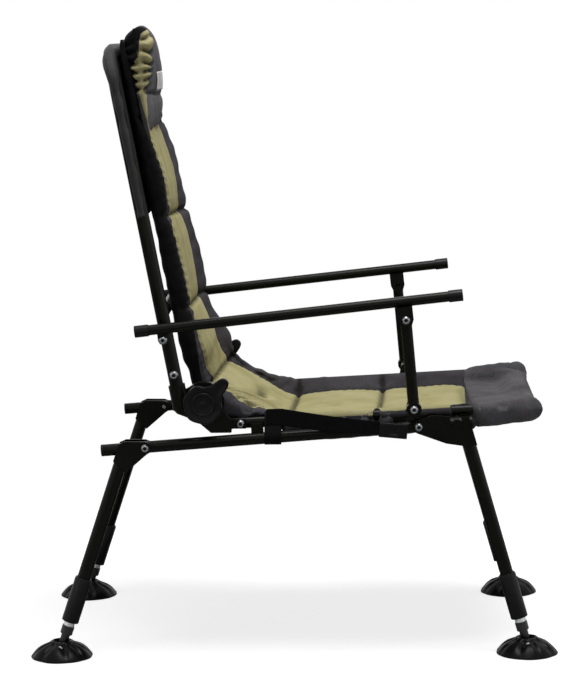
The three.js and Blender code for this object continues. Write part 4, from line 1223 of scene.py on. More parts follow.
        # The relief fades over the last 25 mm at either end
        calm = ramp(np.minimum(length, length[-1] - length), 0, 25)[:, None]
        points = swollen(points, rise * calm)
        limit = np.interp(length, stations, [s.half for s in self.sections])[:, None] + 0.8
        points[..., 1] = np.clip(points[..., 1], -limit, limit)
        top = (places < UNDERSIDE[0]) | (places > UNDERSIDE[1])
        points = round_tubes(points, np.broadcast_to(top, curve.shape[:2]))

        # The mesh starts below the near edge of the bend and nearer the face further up. On the
        # back it reaches almost to the near seam: partly the real black mesh, partly painted shade
        # on the shaded near face
        marks = [seams[3] - 20, seams[3] + 25, seams[4], seams[5]]
        low = np.interp(length, marks, [34.0, 14.0, 2.0, -2.0])[:, None]
        rear = np.minimum(around - (far + self.far_border), perimeter - low - around)
        # The value "hollow" is the painted shade in the folds and channels
        fields = {
            "panel": panel, "rear": rear + 2 * waves(points, 90, 5), "hollow": hollows(rise) * calm,
        }
        return [cloth_grid("quilted_mattress", points, (perimeter, length[-1]), fields)]

    def panels(self, layout: Layout) -> Array:
        """Distance inside the olive panels' seams.

        Args:
            layout: where each place lies.

        Returns:
            Millimetres from the seam, positive on the olive.
        """
        across, far, seams = layout.across, layout.far, layout.seams
        starts = (9.0, 5.0, *[0.0] * len(seams))
        inside = np.full(across.shape, -99.0)
        for number, (left, low, high) in enumerate(zip(starts, seams, seams[1:])):
            corner = self.back_corner
            if number < len(self.seat_seams) - 1:
                corner = np.where(across > far / 2, self.corner, self.near_corner)
            out_a = np.abs(across - (left + far) / 2) - ((far - left) / 2 - corner)
            out_s = np.abs(layout.along - (low + high) / 2) - ((high - low) / 2 - corner)
            far_out = np.hypot(np.maximum(out_a, 0), np.maximum(out_s, 0))
            inside = np.maximum(inside, corner - far_out - np.minimum(np.maximum(out_a, out_s), 0))
        return inside

    def quilting(self, points: Array, layout: Layout, panel: Array) -> Array:
        """The rise of the padding between its channels, with seams, puckers and creases.

        Args:
            points: the smooth surface.
            layout: where each place lies.
            panel: distance inside the olive panels.

        Returns:
            Distance outwards, mm.
        """
        across, along, seams = layout.across, layout.along, layout.seams
        bounds = [seams[0] - 60, *seams, seams[-1] + 215]
        puffs = np.zeros(along.shape)
        for low, high in zip(bounds, bounds[1:]):
            t = np.clip((2 * along - low - high) / (high - low), -1, 1)
            puffs += np.where((along >= low) & (along < high), (1 - np.abs(t) ** 3.6) ** 0.7, 0)
        rise = self.puff * (puffs - 0.72)
        uneven = waves(points, 70, 11)
        for seam in seams:
            rise += self.channel.rise(np.abs(along - seam), across, uneven)
        edge = np.minimum(np.abs(across), np.abs(across - layout.far))
        rise += self.seam.rise(edge, along, waves(points, 60, 3))
        high_up = ramp(along, seams[4], 60)
        rise += high_up * self.back_folds.rise(points, across, along - seams[5])
        low_down = ramp(along, seams[3], 12) * np.clip((seams[3] + 120 - along) / 80, 0, 1)
        rise += low_down * self.low_folds.rise(points, across, along - seams[3])
        rise = (rise + waves(points, 120, 8)) * layout.upper
        return rise + (0.5 + 0.9 * np.clip(-panel / 12, 0, 1)) * waves(points, 46, 7)

    def bend_folds(self, layout: Layout, span: tuple[float, float]) -> Array:
        """The pull folds that fan over the bend from its near rear corner.

        Args:
            layout: where each place lies.
            span: where the bend starts and ends, mm.

        Returns:
            Distance outwards, mm.
        """
        across, along, far = layout.across, layout.along, layout.far
        share = ramp(along, span[0], span[1] - span[0])
        window = np.where((along > span[0]) & (along < span[1]), np.sin(math.pi * share) ** 0.6, 0)
        aside, before = across + 25, span[1] - 12 - along
        reach = np.hypot(aside, before)
        angle = np.arctan2(before, aside) + 0.05 * np.sin(reach / 47)
        fan = np.zeros(across.shape)
        for turn, depth, longest in self.pulls:
            near = ramp(reach, 22, 40) * np.clip((longest - reach) / (0.6 * longest), 0, 1)
            fan += near * fold(angle - turn, depth, 0.055, 0.1, 0.06)
        border = np.where(across < 4, 1.0, np.where(across > far - 4, 0.5, 0.0))
        crumple = np.sin(along / 5.2 + across / 7) * 2.0 + np.sin(along / 12 - across / 8) * 4.0
        inside = ramp(across, -85, 25) * (across < far + 60)
        return window * inside * (fan * (1 - border) + border * crumple)

    def dress(self, pieces: list[Piece]) -> None:
        """Gives the mattress its cover, bakes its place into its mesh and hides the CAD mattress
        pieces.

        Args:
            pieces: the mattress.
        """
        piece = pieces[0]
        piece.data.materials.append(MATTRESS_CLOTH.material())
        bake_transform(piece)
        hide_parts("seat_mattress", "mattress_bend", "back_mattress")


@dataclass
class HeadPillow(Assembly):
    """The head pillow, with gathered olive ends and a blank label on its front.

    Its profile is forward and up on the back. How far its ends lean forward, and the edges of
    their olive strips, are given by height.
    """

    columns: int = 150
    rows: int = 190
    half: float = 243.0
    end_round: float = 28.0
    strip: float = 26.0
    near_end: Pairs = ((500, -4), (560, -6), (584, -7), (632, 1), (667, 11), (690, 15))
    far_end: Pairs = ((500, -40), (560, -30), (620, -20), (700, -34))
    pleats: Pairs = ((672, 6.0), (652, 9.0), (634, 9.0), (618, 10.0), (600, 6.0), (583, 8.0))
    front_seam: float = 566.0
    profile: Pairs = (
        (-14, 489), (1, 503), (10, 525), (15, 548), (15.5, 562), (17, 574), (22, 596), (26, 625),
        (27, 648), (25, 668), (19, 686), (9, 696), (-4, 692), (-16, 678), (-18, 650), (-18, 600),
        (-18, 550), (-17, 505),
    )
    strip_left: Pairs = (
        (528, -2), (560, -5), (592, -7), (626, -9), (632, -7), (641, 6), (671, 14), (683, 20),
        (693, 44),
    )
    strip_right: Pairs = (
        (528, 1), (536, 3), (560, 7), (584, 12), (632, 27), (667, 36), (690, 34), (702, 24),
    )
    label: tuple[float, float, float, float] = (-112, 38, 575, 609)

    def shape(self, unbent: Array, up: Array) -> Array:
        """Closes the pillow's ends, leans them and lifts its underside in the middle.

        Args:
            unbent: the profile's forward places, mm, by row and column.
            up: its heights, mm.

        Returns:
            Forward, Y and up of each point, mm.
        """
        share = np.linspace(-1, 1, self.rows + 1)[:, None]
        y = self.half * np.sign(share) * (1 - (1 - np.abs(share)) ** 1.15)
        past = ramp(np.abs(y), self.half - self.end_round, self.end_round)
        shrink = np.sqrt(1 - past**2.4) * 0.985 + 0.015
        upper = ramp(up, 560, 60)
        aside = np.abs(y / self.half)
        near = np.interp(up, *np.array(self.near_end).T) * aside**1.3
        away = np.interp(up, *np.array(self.far_end).T) * aside**1.2
        forward = unbent + ramp(unbent, -18, 30) * np.where(y < 0, near, away)
        centre = 6 * upper - 22 * ramp(y, 140, 100)
        forward = centre + (forward - centre) * shrink
        up = 600 + (up - 600) * (0.97 + 0.03 * shrink)
        up = up + 16 * (1 - aside**2) * ramp(-up, -560, 70)
        up = up - 9 * ramp(y, 120, 120) * upper
        return np.stack([forward, np.broadcast_to(y, up.shape), up], axis=-1)

    def creases(self, points: Array, left: Array) -> Array:
        """The creases from the gathered ends, and the sunk seam between the two front panels.

        Args:
            points: the smooth surface.
            left: the rear edge of the end strips at each place, mm.

        Returns:
            Distance outwards, mm.
        """
        forward, across, up = np.moveaxis(points, -1, 0)
        gather = ramp(np.abs(across), 150, 90) ** 2
        slant = up + 0.3 * (forward - left) * np.sin(up / 19) + 3 * np.sin(forward / 6 + up / 30)
        rise = gather * sum(fold(slant - at, deep, 3.8, -9, 5) for at, deep in self.pleats)
        notch = np.clip(-across / 120, 0.3, 1) * (forward > 4)
        rise -= 6.0 * notch * ridge(up - self.front_seam + 0.04 * across, 4.0)
        return rise + 1.3 * waves(points, 80, 21) + 0.7 * gather * waves(points, 34, 22)

    def build(self) -> list[Piece]:
        """Makes the pillow and its label.

        Returns:
            The pillow and the label.
        """
        ring = np.array(self.profile, float)
        places, around = even_places(ring, self.columns)
        profile = closed_curve(ring, places).T[:, None]
        unbent, up = np.repeat(profile, self.rows + 1, axis=1)
        points = self.shape(unbent, up)
        forward, across, up = np.moveaxis(points, -1, 0)
        offset = np.where(across < 0, 0, -24)
        left = np.interp(up, *np.array(self.strip_left).T) + offset
        right = np.interp(up, *np.array(self.strip_right).T) + offset
        end = -across - (self.half - self.strip)
        olive = np.minimum(np.minimum(forward - left, right - forward), end)
        rise = self.creases(points, left)
        calm = ramp(self.half - np.abs(across), 0, 2.5)
        points = swollen(points, rise * calm)
        points[..., 1] = np.clip(points[..., 1], -self.half - 5, self.half + 1)

        # The mesh covers the pillow's back, and its near end behind the olive strip
        black = -9.0 - np.where(across > 0, unbent + 7.0, points[..., 0])
        black = np.where((end > 0) & (up > 600), np.maximum(black, left - forward), black)
        black = np.where(olive > -0.5, np.minimum(black, -1.0), black)
        # The value "hollow" is the painted shade in the pillow's creases and pleats
        fields = {"panel": olive, "rear": black, "hollow": hollows(rise) * calm}
        size = (around[-1], 2 * self.half)
        pillow = cloth_grid("head_pillow_cover", on_back(points), size, fields)
        return [pillow, self.build_label(pillow)]

    def build_label(self, pillow: Piece) -> Piece:
        """Makes the blank label on the pillow's front.

        Args:
            pillow: the pillow, which the label follows.

        Returns:
            The label.
        """
        left, right, low, high = self.label
        y, up = np.meshgrid(np.linspace(left, right, 41), np.linspace(low, high, 13))
        starts = on_back(np.stack([np.full(y.shape, 90.0), y, up], axis=-1))
        away = Vector((-math.cos(LEAN), 0, -math.sin(LEAN)))
        pillow.data.update()
        points = np.empty((*y.shape, 3))
        for index in np.ndindex(y.shape):
            start = Vector(starts[index]) * MM
            hit, place, normal, _ = pillow.ray_cast(start, away)
            points[index] = (place + normal * 0.0015) * 1000 if hit else start * 1000
        piece = cloth_grid("blank_label", points, (right - left, high - low), closed=False)
        thicken(piece, "satin", 0.7)
        return piece

    def dress(self, pieces: list[Piece]) -> None:
        """Covers the pillow and the label and ties them to the back.

        Args:
            pieces: the pillow and the label.
        """
        pillow, label = pieces
        tie(pillow, PILLOW_CLOTH.material(), "back")
        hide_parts("head_pillow")
        label.data.materials.append(LABEL.material())
        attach(label, "back")


@dataclass
class FrontPocket(Assembly):
    """The charcoal pocket that the mattress's front forms round the front cross tube."""

    columns: int = 200
    rows: int = 60
    rear_x: float = 339.0
    front_x: float = 463.0
    seams: tuple[float, float] = (-216.0, 202.0)
    hem: float = 30.0
    seam: Stitching = Stitching(3.0, 2.8, pucker=0.7, reach=12, pitch=2.6 * TURN)

    def controls(self, x: float) -> Array:
        """The pocket's section.

        Args:
            x: place along the chair, mm.

        Returns:
            Y and height above the seat tubes of each control point, mm.
        """
        share = (x - self.rear_x) / (self.front_x - self.rear_x)
        top = 12 + 5 * share
        low = -33 + 7 * share
        bolster = top + 5 * min(share / 0.2, 1)
        half = 232.4 + 3 * min(max((x - 340) / 14, 0), 1)
        climb = min(max((x - 392) / 42, 0), 1)
        line = -9 + 17 * climb * climb * (3 - 2 * climb)
        return np.array([
            # The near edge, and the underside
            (-186, top - 4), (-202, top - 2.5), (-213, top), (-224, top - 0.5), (-half + 1.5, 4),
            (-half, -7), (-half + 2.5, low + 7), (-half + 9, low + 1), (-200, low), (-100, low),
            (0, low), (100, low), (200, low), (half - 9, low + 1), (half - 2.5, low + 7),
            # The far edge with its bolster, and the hollow top
            (half, -7), (half - 1.5, 5), (226, bolster), (217, bolster), (207, 2), (198, line),
            (150, line + 2), (70, line + 5), (0, line + 9), (-70, line + 13), (-140, top - 6),
        ], float)

    def build(self) -> list[Piece]:
        """Makes the pocket.

        Returns:
            The object, in a list.
        """
        share = np.linspace(0, 1, self.rows + 1)
        x = self.rear_x + (self.front_x - self.rear_x) * (1 - (1 - share) ** 1.5)
        places, around = even_places(self.controls(400), self.columns)
        curve = np.stack([closed_curve(self.controls(float(place)), places) for place in x])
        y, height = curve[..., 0], curve[..., 1]
        height = round_end(height, self.front_x - x, 20, 0.985)
        height = round_end(height, x - self.rear_x, 9, 0.9)
        x = x[:, None]
        bow = 4 - 10 * (1 - np.clip(np.abs(y) / 218, 0, 1) ** 2.5)
        ahead = x + 0.013 * (y + 60) + ramp(x, 400, 60) ** 2 * bow
        points = np.stack([ahead, y, seat_height(ahead) + height], axis=-1)
        top = ramp(height, -13.2, 6)
        rise = 1.0 * waves(points, 70, 31) + 0.7 * waves(points, 30, 32)
        for line in self.seams:
            rise += top * self.seam.rise(y - line, x)
        rise -= top * 1.4 * ridge(x - (self.front_x - self.hem), 2.6)
        calm = np.clip(np.minimum(share, 1 - share) * 12, 0, 1)[:, None]
        points = swollen(points, rise * calm)
        limit = 233 + 3 * ramp(points[..., 0], 340, 14)
        points[..., 1] = np.clip(points[..., 1], -limit, limit)
        over_top = np.broadcast_to((places < 3.8) | (places > 17.3), curve.shape[:2])
        points = round_tubes(points, over_top)
        size = (around[-1], self.front_x - self.rear_x)
        return [cloth_grid("front_pocket_cover", points, size)]

    def dress(self, pieces: list[Piece]) -> None:
        """Covers the pocket and ties it to the seat.

        Args:
            pieces: the pocket.
        """
        tie(pieces[0], CHARCOAL.material(), "seat")
        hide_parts("seat_front_pocket")


@dataclass
class RearHood(Assembly):
    """The black hood that slips over the top of the back frame.

    Its middle and its near and far limits are forward places on the back.
    """

    columns: int = 180
    rows: int = 110
    bottom: float = 357.0
    top: float = 674.0
    half: float = 276.5
    middle: float = -43.0
    limits: tuple[float, float] = (-63, -28.6)
    depth: float = 15.6
    corner: float = 84.0
    cross_tube: float = 46.0

    def build(self) -> list[Piece]:
        """Makes the hood.

        Returns:
            The object, in a list.
        """
        share = np.linspace(0, 1, self.rows + 1)[:, None]
        up = self.bottom + (self.top - self.bottom) * (1 - (1 - share) ** 1.4)
        angle = np.linspace(0, TURN, self.columns + 1)
        lift = np.clip(up - (self.top - self.corner), 0, self.corner)
        width = self.half - self.corner + np.sqrt(self.corner**2 - lift**2)
        thick = self.depth * np.sqrt(1 - ramp(up, self.top - self.depth, self.depth) ** 2)
        face = np.sign(np.sin(angle)) * np.abs(np.sin(angle)) ** 0.8
        y = width * (np.sign(np.cos(angle)) * np.abs(np.cos(angle)) ** 0.35)
        # Between the two tubes the cloth is drawn flat, up to the cross tube
        head = self.top - self.cross_tube
        bulge = 0.42 + 0.58 * ramp(np.abs(y), width - 42, 26)
        bulge = np.maximum(bulge, ramp(up, head, 22))
        forward = self.middle + thick * face * bulge
        forward -= 3.4 * ridge(up - 642, 30) * (face < 0)
        up = np.broadcast_to(up, y.shape)
        points = np.stack([np.clip(forward, *self.limits), y, up], axis=-1)
        folds = np.sin(y / 13 + 1.8 * waves(points, 110, 41)) * ramp(up, 470, 160)
        flap = 2.6 * ramp(up, 560, 80) * waves(points, 75, 43)
        rise = 0.9 * waves(points, 60, 42) + 0.9 * folds + flap
        rise = rise * ramp(self.top - up, 0, 12) - 0.8 * ridge(up - self.bottom - 14, 2.2)
        points = swollen(points, rise)
        points[..., 0] = np.minimum(points[..., 0], self.limits[1] + 0.4)
        size = (1180, self.top - self.bottom)
        piece = cloth_grid("back_frame_hood", on_back(points), size, capped=False)
        thicken(piece, "cloth", 1.1, offset=1)
        return [piece]

    def dress(self, pieces: list[Piece]) -> None:
        """Covers the hood and ties it to the back.

        Args:
            pieces: the hood.
        """
        piece = pieces[0]
        tie(piece, HOOD_CLOTH.material(), "back")
        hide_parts("back_hood")


@dataclass
class SideStrap(Assembly):
    """One side strap: a loop round both tubes, a band along them and a ladder buckle.

    The band's height and half its width are given by X. On the left it hangs lower.
    """

    side: Side
    loop_x: float = -34.0
    loop_half: float = 15.5
    band_y: float = 265.0
    thick: float = 1.7
    heights: Pairs = ((-46, 451), (-20, 452), (72, 438.5), (112, 434.5), (164, 429.5), (205, 425.5))
    halves: Pairs = ((-46, 15.5), (-20, 15.8), (72, 14.5), (164, 11.6), (205, 11.2))
    left_drop: Pairs = ((-20, 21), (100, 5))

    def loop_line(self) -> Array:
        """The loop's line round the seat tube and the rail.

        Returns:
            The points, mm.
        """
        lift = -2 * self.side.value
        tube = (SEAT_TUBE_Y, seat_height(self.loop_x) + lift, 14.5 + lift)
        rail = (RAIL_Y, rail_height(self.loop_x), 12.6)
        mesh = bmesh.new()
        for y, z, radius in (tube, rail):
            for turn in np.linspace(0, TURN, 49)[:-1]:
                mesh.verts.new((y + radius * math.cos(turn), z + radius * math.sin(turn), 0))
        hull = bmesh.ops.convex_hull(mesh, input=mesh.verts, use_existing_faces=False)
        kept = {(v.co.x, v.co.y) for v in hull["geom"] if isinstance(v, bmesh.types.BMVert)}
        mesh.free()
        centre = np.mean([tube[:2], rail[:2]], axis=0)
        outline = sorted(kept, key=lambda p: math.atan2(p[1] - centre[1], p[0] - centre[0]))
        ring = np.array([*outline, outline[0]])
        run = run_length(ring)
        steps = np.linspace(0, run[-1], 73)
        y = np.interp(steps, run, ring[:, 0]) * self.side.value
        return np.column_stack([np.full(73, self.loop_x), y, np.interp(steps, run, ring[:, 1])])

    def build(self) -> list[Piece]:
        """Makes the strap's pieces.

        Returns:
            The loop, the band and the buckle.
        """
        word = self.side.word
        line = self.loop_line()
        wide = np.zeros_like(line)
        wide[:, 0] = self.loop_half
        loop = ribbon(f"strap_loop_{word}", line, wide, self.thick, closed=True)
        x = np.linspace(self.heights[0][0], self.heights[-1][0], 64)
        mid = np.interp(x, *np.array(self.heights, float).T)
        if self.side is Side.LEFT:
            mid -= np.interp(x, *np.array(self.left_drop, float).T)
        half = np.interp(x, *np.array(self.halves, float).T)
        swing = self.band_y + 1.3 * np.sin(x / 44) + 0.5 * np.sin(x / 17)
        band_line = np.column_stack([x, self.side.value * swing, mid])
        tilt = np.column_stack([0.07 * half, np.full(x.shape, self.side.value * -1.2), half])
        band = ribbon(f"strap_band_{word}", band_line, tilt, self.thick)
        return [loop, band, self.buckle()]

    def buckle(self) -> Piece:
        """Makes the moulded ladder buckle.

        Returns:
            The buckle.
        """
        size, middle = (52 * MM, 27 * MM, 1), (188, self.side.value * (self.band_y + 2.6), 424.5)
        mesh = bmesh.new()
        bmesh.ops.create_grid(mesh, x_segments=3, y_segments=5, size=0.5)
        bmesh.ops.scale(mesh, vec=size, verts=mesh.verts)
        slots = [f for f in mesh.faces if abs(f.calc_center_median().x) < 1e-6]
        inner = [f for f in slots if abs(f.calc_center_median().y) < 9 * MM]
        bmesh.ops.inset_region(mesh, faces=inner, thickness=1.6 * MM, depth=-2.2 * MM)
        bmesh.ops.solidify(mesh, geom=mesh.faces, thickness=4.6 * MM)
        bmesh.ops.recalc_face_normals(mesh, faces=mesh.faces)
        round_edges(mesh, 0.6, 1.1)
        (near_x, near_z), (far_x, far_z) = self.heights[3], self.heights[5]
        tilt = math.atan2(far_z - near_z, far_x - near_x)
        turn = Matrix.Rotation(-tilt, 4, "Y") @ Matrix.Rotation(math.pi / 2, 4, "X")
        place = Matrix.Translation(Vector(middle) * MM)
        bmesh.ops.transform(mesh, matrix=place @ turn, verts=mesh.verts)
        return keep_mesh(f"strap_buckle_{self.side.word}", mesh)

    def dress(self, pieces: list[Piece]) -> None:
        """Gives the strap its finish and ties it to the seat.

        Args:
            pieces: the loop, the band and the buckle.
        """
        webbing, nylon = WEBBING.material(), NYLON.material()
        finishes = ((webbing, "webbing"), (webbing, "webbing"), (nylon, "plastic"))
        for piece, (look, slot) in zip(pieces, finishes):
            tie(piece, look, "seat")
        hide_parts(f"side_strap_{self.side.word}")


# ---------------------------------------------------------------- moulded and turned parts


def node_middle(name: str) -> tuple[float, float, float]:
    """The middle of a CAD node's box, mm."""
    return tuple((low + high) / 2 / MM for low, high in zip(*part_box(name)))


@dataclass
class MudFoot(Assembly):
    """A swivelling mud foot: a folded cone with a wavy rim and the head of its pin.

    The cone's folds and waves start outside its cup.
    """

    end: End
    side: Side
    cup: float = 20.5
    profile: Pairs = (
        (0, 7), (11.5, 7), (12.6, 19), (16.6, 30.4), (17.6, 31), (19.4, 30.6), (21.2, 28),
        (23.4, 25.8), (28, 23.6), (34, 21.2), (40, 18.6), (45, 15.6), (50, 11.6), (54, 7.4),
        (57, 3.8), (58.2, 2), (57.8, 0.8), (56.4, 0.2), (44, 0), (22, 0), (0, 0),
    )
    pin: Pairs = ((0, 0), (4.4, 0), (4.4, 3), (3, 4.4), (0, 4.7))

    def ruffle(self, vertex: bpy.types.MeshVertex, offsets: Array) -> None:
        """Folds the cone and waves its rim at one vertex.

        Args:
            vertex: a vertex of the foot, which still stands at the origin.
            offsets: where the folds and waves start, radians.
        """
        place = vertex.co
        radius = math.hypot(place.x, place.y) / MM
        if radius < self.cup:
            return
        angle = math.atan2(place.y, place.x)
        share = min(max((radius - 17) / 38, 0), 1)
        crease = math.cos(9 * angle + offsets[0] + 0.9 * math.sin(3 * angle + offsets[1]))
        crease = 0.9 - 1.9 * (0.5 - 0.5 * crease) ** 3
        wave = math.cos(5 * angle + offsets[2]) + 0.6 * math.cos(8 * angle + offsets[3])
        if place.z > 0.6 * MM:
            bell = math.sin(math.pi * min(share * 0.8 + 0.18, 1))
            place.z += (2.3 * crease * bell + 0.6 * wave * share * (1 - share) * 4) * MM
        limit = (radius + (0.5 * crease + 0.35 * wave) * share - 1.0 * share) / radius
        place.x *= limit
        place.y *= limit
        place.z = max(place.z, 0)

    def build(self) -> list[Piece]:
        """Makes the foot.

        Returns:
            The foot and the head of its pin.
        """
        tag, out = f"{self.end.word}_{self.side.word}", self.side.value
        x, y, _ = node_middle(f"{self.end.word}_foot_{self.side.word}")
        foot = spun(f"mud_foot_{tag}", self.profile, Matrix.Identity(4), steps=144, sharp=60)
        rng = np.random.default_rng((self.end.value + 2) * 7 + out)
        offsets = rng.uniform(0, TURN, 4)
        for vertex in foot.data.vertices:
            self.ruffle(vertex, offsets)
        foot.data.transform(Matrix.Translation(Vector((x, y, 0)) * MM))
        place = axis_matrix((x, y + out * 27.5, 21.5), (0, out, 0.5))
        return [foot, spun(f"foot_pin_head_{tag}", self.pin, place, steps=24)]

    def dress(self, pieces: list[Piece]) -> None:
        """Finishes the foot and ties it to its joint.

        Args:
            pieces: the foot and its pin's head.
        """
        body = f"{self.end.word}_foot_{self.side.word}"
        tie(pieces[0], FOOT_PVC.material(), body)
        tie(pieces[1], ZINC.material(), body)
        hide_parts(body)


@dataclass
class ClampKnob(Assembly):
    """The recline clamp: a lobed disc with a lever, a raised ring and a deep hub.

    Inner, face, hub and sleeve are the Y where the disc starts and ends, where the hub ends and
    where the collar behind the disc starts.
    """

    side: Side
    radius: float = 36.6
    lever: float = 26.5
    lever_angle: float = 45.0
    inner: float = 276.0
    face: float = 287.6
    hub: float = 289.9
    sleeve: float = 255.0
    collar: Pairs = ((5.6, 0), (16.5, 0), (18.5, 21.5), (5.6, 21.5))

    def outline(self, angle: float) -> float:
        """Radius of the disc's edge.

        Args:
            angle: direction, degrees up from +X.

        Returns:
            The radius, mm.
        """
        off = (angle - self.lever_angle + 180) % 360 - 180
        lobe = self.lever * math.exp(-(abs(off / 15.5) ** 3))
        hollow = -4.5 * ridge(off - 42, 14) - 3 * ridge(off + 40, 13)
        grips = 0.9 * math.cos(math.radians(6 * off)) if abs(off) > 70 else 0
        return self.radius + lobe + hollow + grips

    def disc(self) -> Piece:
        """Makes the lobed disc with its raised ring.

        Returns:
            The disc.
        """
        out, thick = self.side.value, (self.face - self.inner) * MM
        mesh = bmesh.new()
        bmesh.ops.create_circle(mesh, cap_ends=True, radius=1, segments=96)
        for vertex in mesh.verts:
            angle = math.degrees(math.atan2(vertex.co.y, vertex.co.x))
            turn = math.radians(angle)
            heading = Vector((math.cos(turn), math.sin(turn), 0))
            vertex.co = heading * (self.outline(angle) * MM)
        raise_disc(mesh, thick)
        top = [f for f in mesh.faces if f.calc_center_median().z > thick * 0.99]
        for width, depth in ((3.2, 0.5), (4.5, -1.6)):
            bmesh.ops.inset_region(mesh, faces=top, thickness=width * MM, depth=depth * MM)
        bmesh.ops.recalc_face_normals(mesh, faces=mesh.faces)
        round_edges(mesh, 0.45, 1.5, segments=3)
        turned = Matrix(((1, 0, 0, 0), (0, 0, out, 0), (0, 1, 0, 0), (0, 0, 0, 1)))
        place = Matrix.Translation(Vector((PIVOT[0], out * self.inner, PIVOT[1])) * MM)
        bmesh.ops.transform(mesh, matrix=place @ turned, verts=mesh.verts)
        bmesh.ops.recalc_face_normals(mesh, faces=mesh.faces)
        return keep_mesh(f"clamp_disc_{self.side.word}", mesh)

    def build(self) -> list[Piece]:
        """Makes the knob.

        Returns:
            The disc, the hub and the collar behind the disc.
        """
        out, height = self.side.value, self.hub - self.inner
        bowl = (
            (0, 1), (21.5, 1), (22.4, height - 1.6), (21.4, height - 0.3), (19.8, height),
            (17.6, height - 0.8), (16.4, height - 3.2), (15.4, height - 7), (9, height - 8.2),
            (7.4, height - 3.4), (0, height - 2.9),
        )
        turned = (("hub", bowl, self.inner, 72), ("collar", self.collar, self.sleeve, 56))
        pieces = [self.disc()]
        for name, profile, start, steps in turned:
            place = axis_matrix((PIVOT[0], out * start, PIVOT[1]), (0, out, 0))
            pieces.append(spun(f"clamp_{name}_{self.side.word}", profile, place, steps=steps))
        return pieces

    def dress(self, pieces: list[Piece]) -> None:
        """Finishes the knob and ties it to its joint.

        Args:
            pieces: the disc, the hub and the collar.
        """
        nylon = NYLON.material()
        for piece in pieces:
            tie(piece, nylon, f"knob_{self.side.word}")
        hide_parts(f"clamp_knob_{self.side.word}")


@dataclass
class Screws(Assembly):
    """The button-head socket screws, which show as bright rings round a dark hexagon: a black disc,
    painted shade for the socket's deep recess.
    """

    head: float = 7.0
    rise: float = 4.4
    socket: float = 3.3
    nodes: tuple[str, ...] = field(default_factory=lambda: tuple(
        name for name in sorted(frame["nodes"]) if "_bolt_" in name
    ))

    def build(self) -> list[Piece]:
        """Puts a detailed head over each screw's plain one.

        Returns:
            The head and the socket of each screw in turn.
        """
        head, socket = self.head, self.socket
        profile = (
            (0, -0.2), (head + 1, -0.2), (head + 1, 1.1), (head + 0.5, 1.6), (head + 0.1, 3.2),
            (head - 1.3, 4.9), (socket + 1, 5.7), (socket + 0.1, 5.6), (socket, 4.8), (0, 4.75),
        )
        pieces = []
        for name in self.nodes:
            out = Side.LEFT.value if name.endswith("left") else Side.RIGHT.value
            low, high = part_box(name)
            x, _, z = node_middle(name)
            base = (high.y if out > 0 else -low.y) / MM - self.rise
            place = axis_matrix((x, out * base, z), (0, out, 0))
            pieces.append(spun(f"screw_head_{name}", profile, place, steps=36, sharp=80))
            # A thin black hexagon disc: painted shade for the deep recess of the hex socket
            mesh = bmesh.new()
            bmesh.ops.create_circle(mesh, cap_ends=True, radius=socket * MM, segments=6)
            raise_disc(mesh, 0.5 * MM)
            bmesh.ops.recalc_face_normals(mesh, faces=mesh.faces)
            place = axis_matrix((x, out * (base + 4.7), z), (0, out, 0))
            bmesh.ops.transform(mesh, matrix=place, verts=mesh.verts)
            pieces.append(keep_mesh(f"screw_socket_{name}", mesh, smooth=False))
        return pieces

    def dress(self, pieces: list[Piece]) -> None:
        """Finishes the heads and ties each to its screw's body.

        Args:
            pieces: the head and the socket of each screw in turn.
        """
        # Zinc for the heads, and black nylon for the discs of painted shade in the sockets
        looks = (ZINC.material(), NYLON.material())
        for number, piece in enumerate(pieces):
            body = frame["nodes"][self.nodes[number // 2]]["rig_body"]
            tie(piece, looks[number % 2], body)


@dataclass
class TubeFrame:
    """The tubes, brackets, sleeves and caps, which keep their CAD shape.

    The corner is the least turn, in degrees, of an edge that is rounded. The splays are the
    lean of the legs, in degrees, and the collar is how far above the foot's pin the black ends.
    """

    edge: float = 0.7
    corner: float = 33.0
    weld: float = 0.02
    splays: tuple[float, float] = (18.7, 15.75)
    pin_height: float = 19.0
    collar: float = 42.5

    def leg_finish(self, name: str) -> SlidingLeg:
        """The finish of an inner leg.

        Args:
            name: the leg's node.

        Returns:
            Its finish.
        """
        end = End.REAR if name.startswith("rear") else End.FRONT
        splay = math.radians(self.splays[end is End.FRONT])
        along = (-end.value * math.sin(splay), 0.0, math.cos(splay))
        pin = Vector((node_middle(name.replace("inner_leg", "foot"))[0], 0, self.pin_height))
        return SlidingLeg(
            f"zinc_leg_{name}", "#E2E4E6", "#CACDD0", 0.34, metallic=1.0, skin=1.0,
            skin_depth=0.02, mottle=8, along=along,
            start=pin.x * along[0] + pin.z * along[2] + self.collar,
        )

    def finish_of(self, name: str) -> MouldedFinish:
        """The finish of a CAD node.

        Args:
            name: the node's name.

        Returns:
            Its finish.
        """
        if any(word in name for word in ("cap", "sleeve", "knob")):
            return NYLON
        if "bolt" in name:
            return ZINC
        return self.leg_finish(name) if "inner_leg" in name else POWDER_COAT

    def dress(self) -> None:
        """Rounds the nodes' edges and gives them their finishes."""
        made: dict[str, bpy.types.Material] = {}
        for name, node in sorted(frame["nodes"].items()):
            finish = self.finish_of(name)
            if finish.name not in made:
                made[finish.name] = finish.material()
            data = node.data
            data.materials.clear()
            data.materials.append(made[finish.name])
            if "custom_normal" in data.attributes:
                data.attributes.remove(data.attributes["custom_normal"])
            data.polygons.foreach_set("use_smooth", [True] * len(data.polygons))
            weld = node.modifiers.new("weld", "WELD")
            weld.merge_threshold = self.weld * MM
            bevel = node.modifiers.new("edges", "BEVEL")
            bevel.width = self.edge * MM
            bevel.segments = 2
            bevel.limit_method = "ANGLE"
            bevel.angle_limit = math.radians(self.corner)
            bevel.harden_normals = True


# ---------------------------------------------------------------- studio


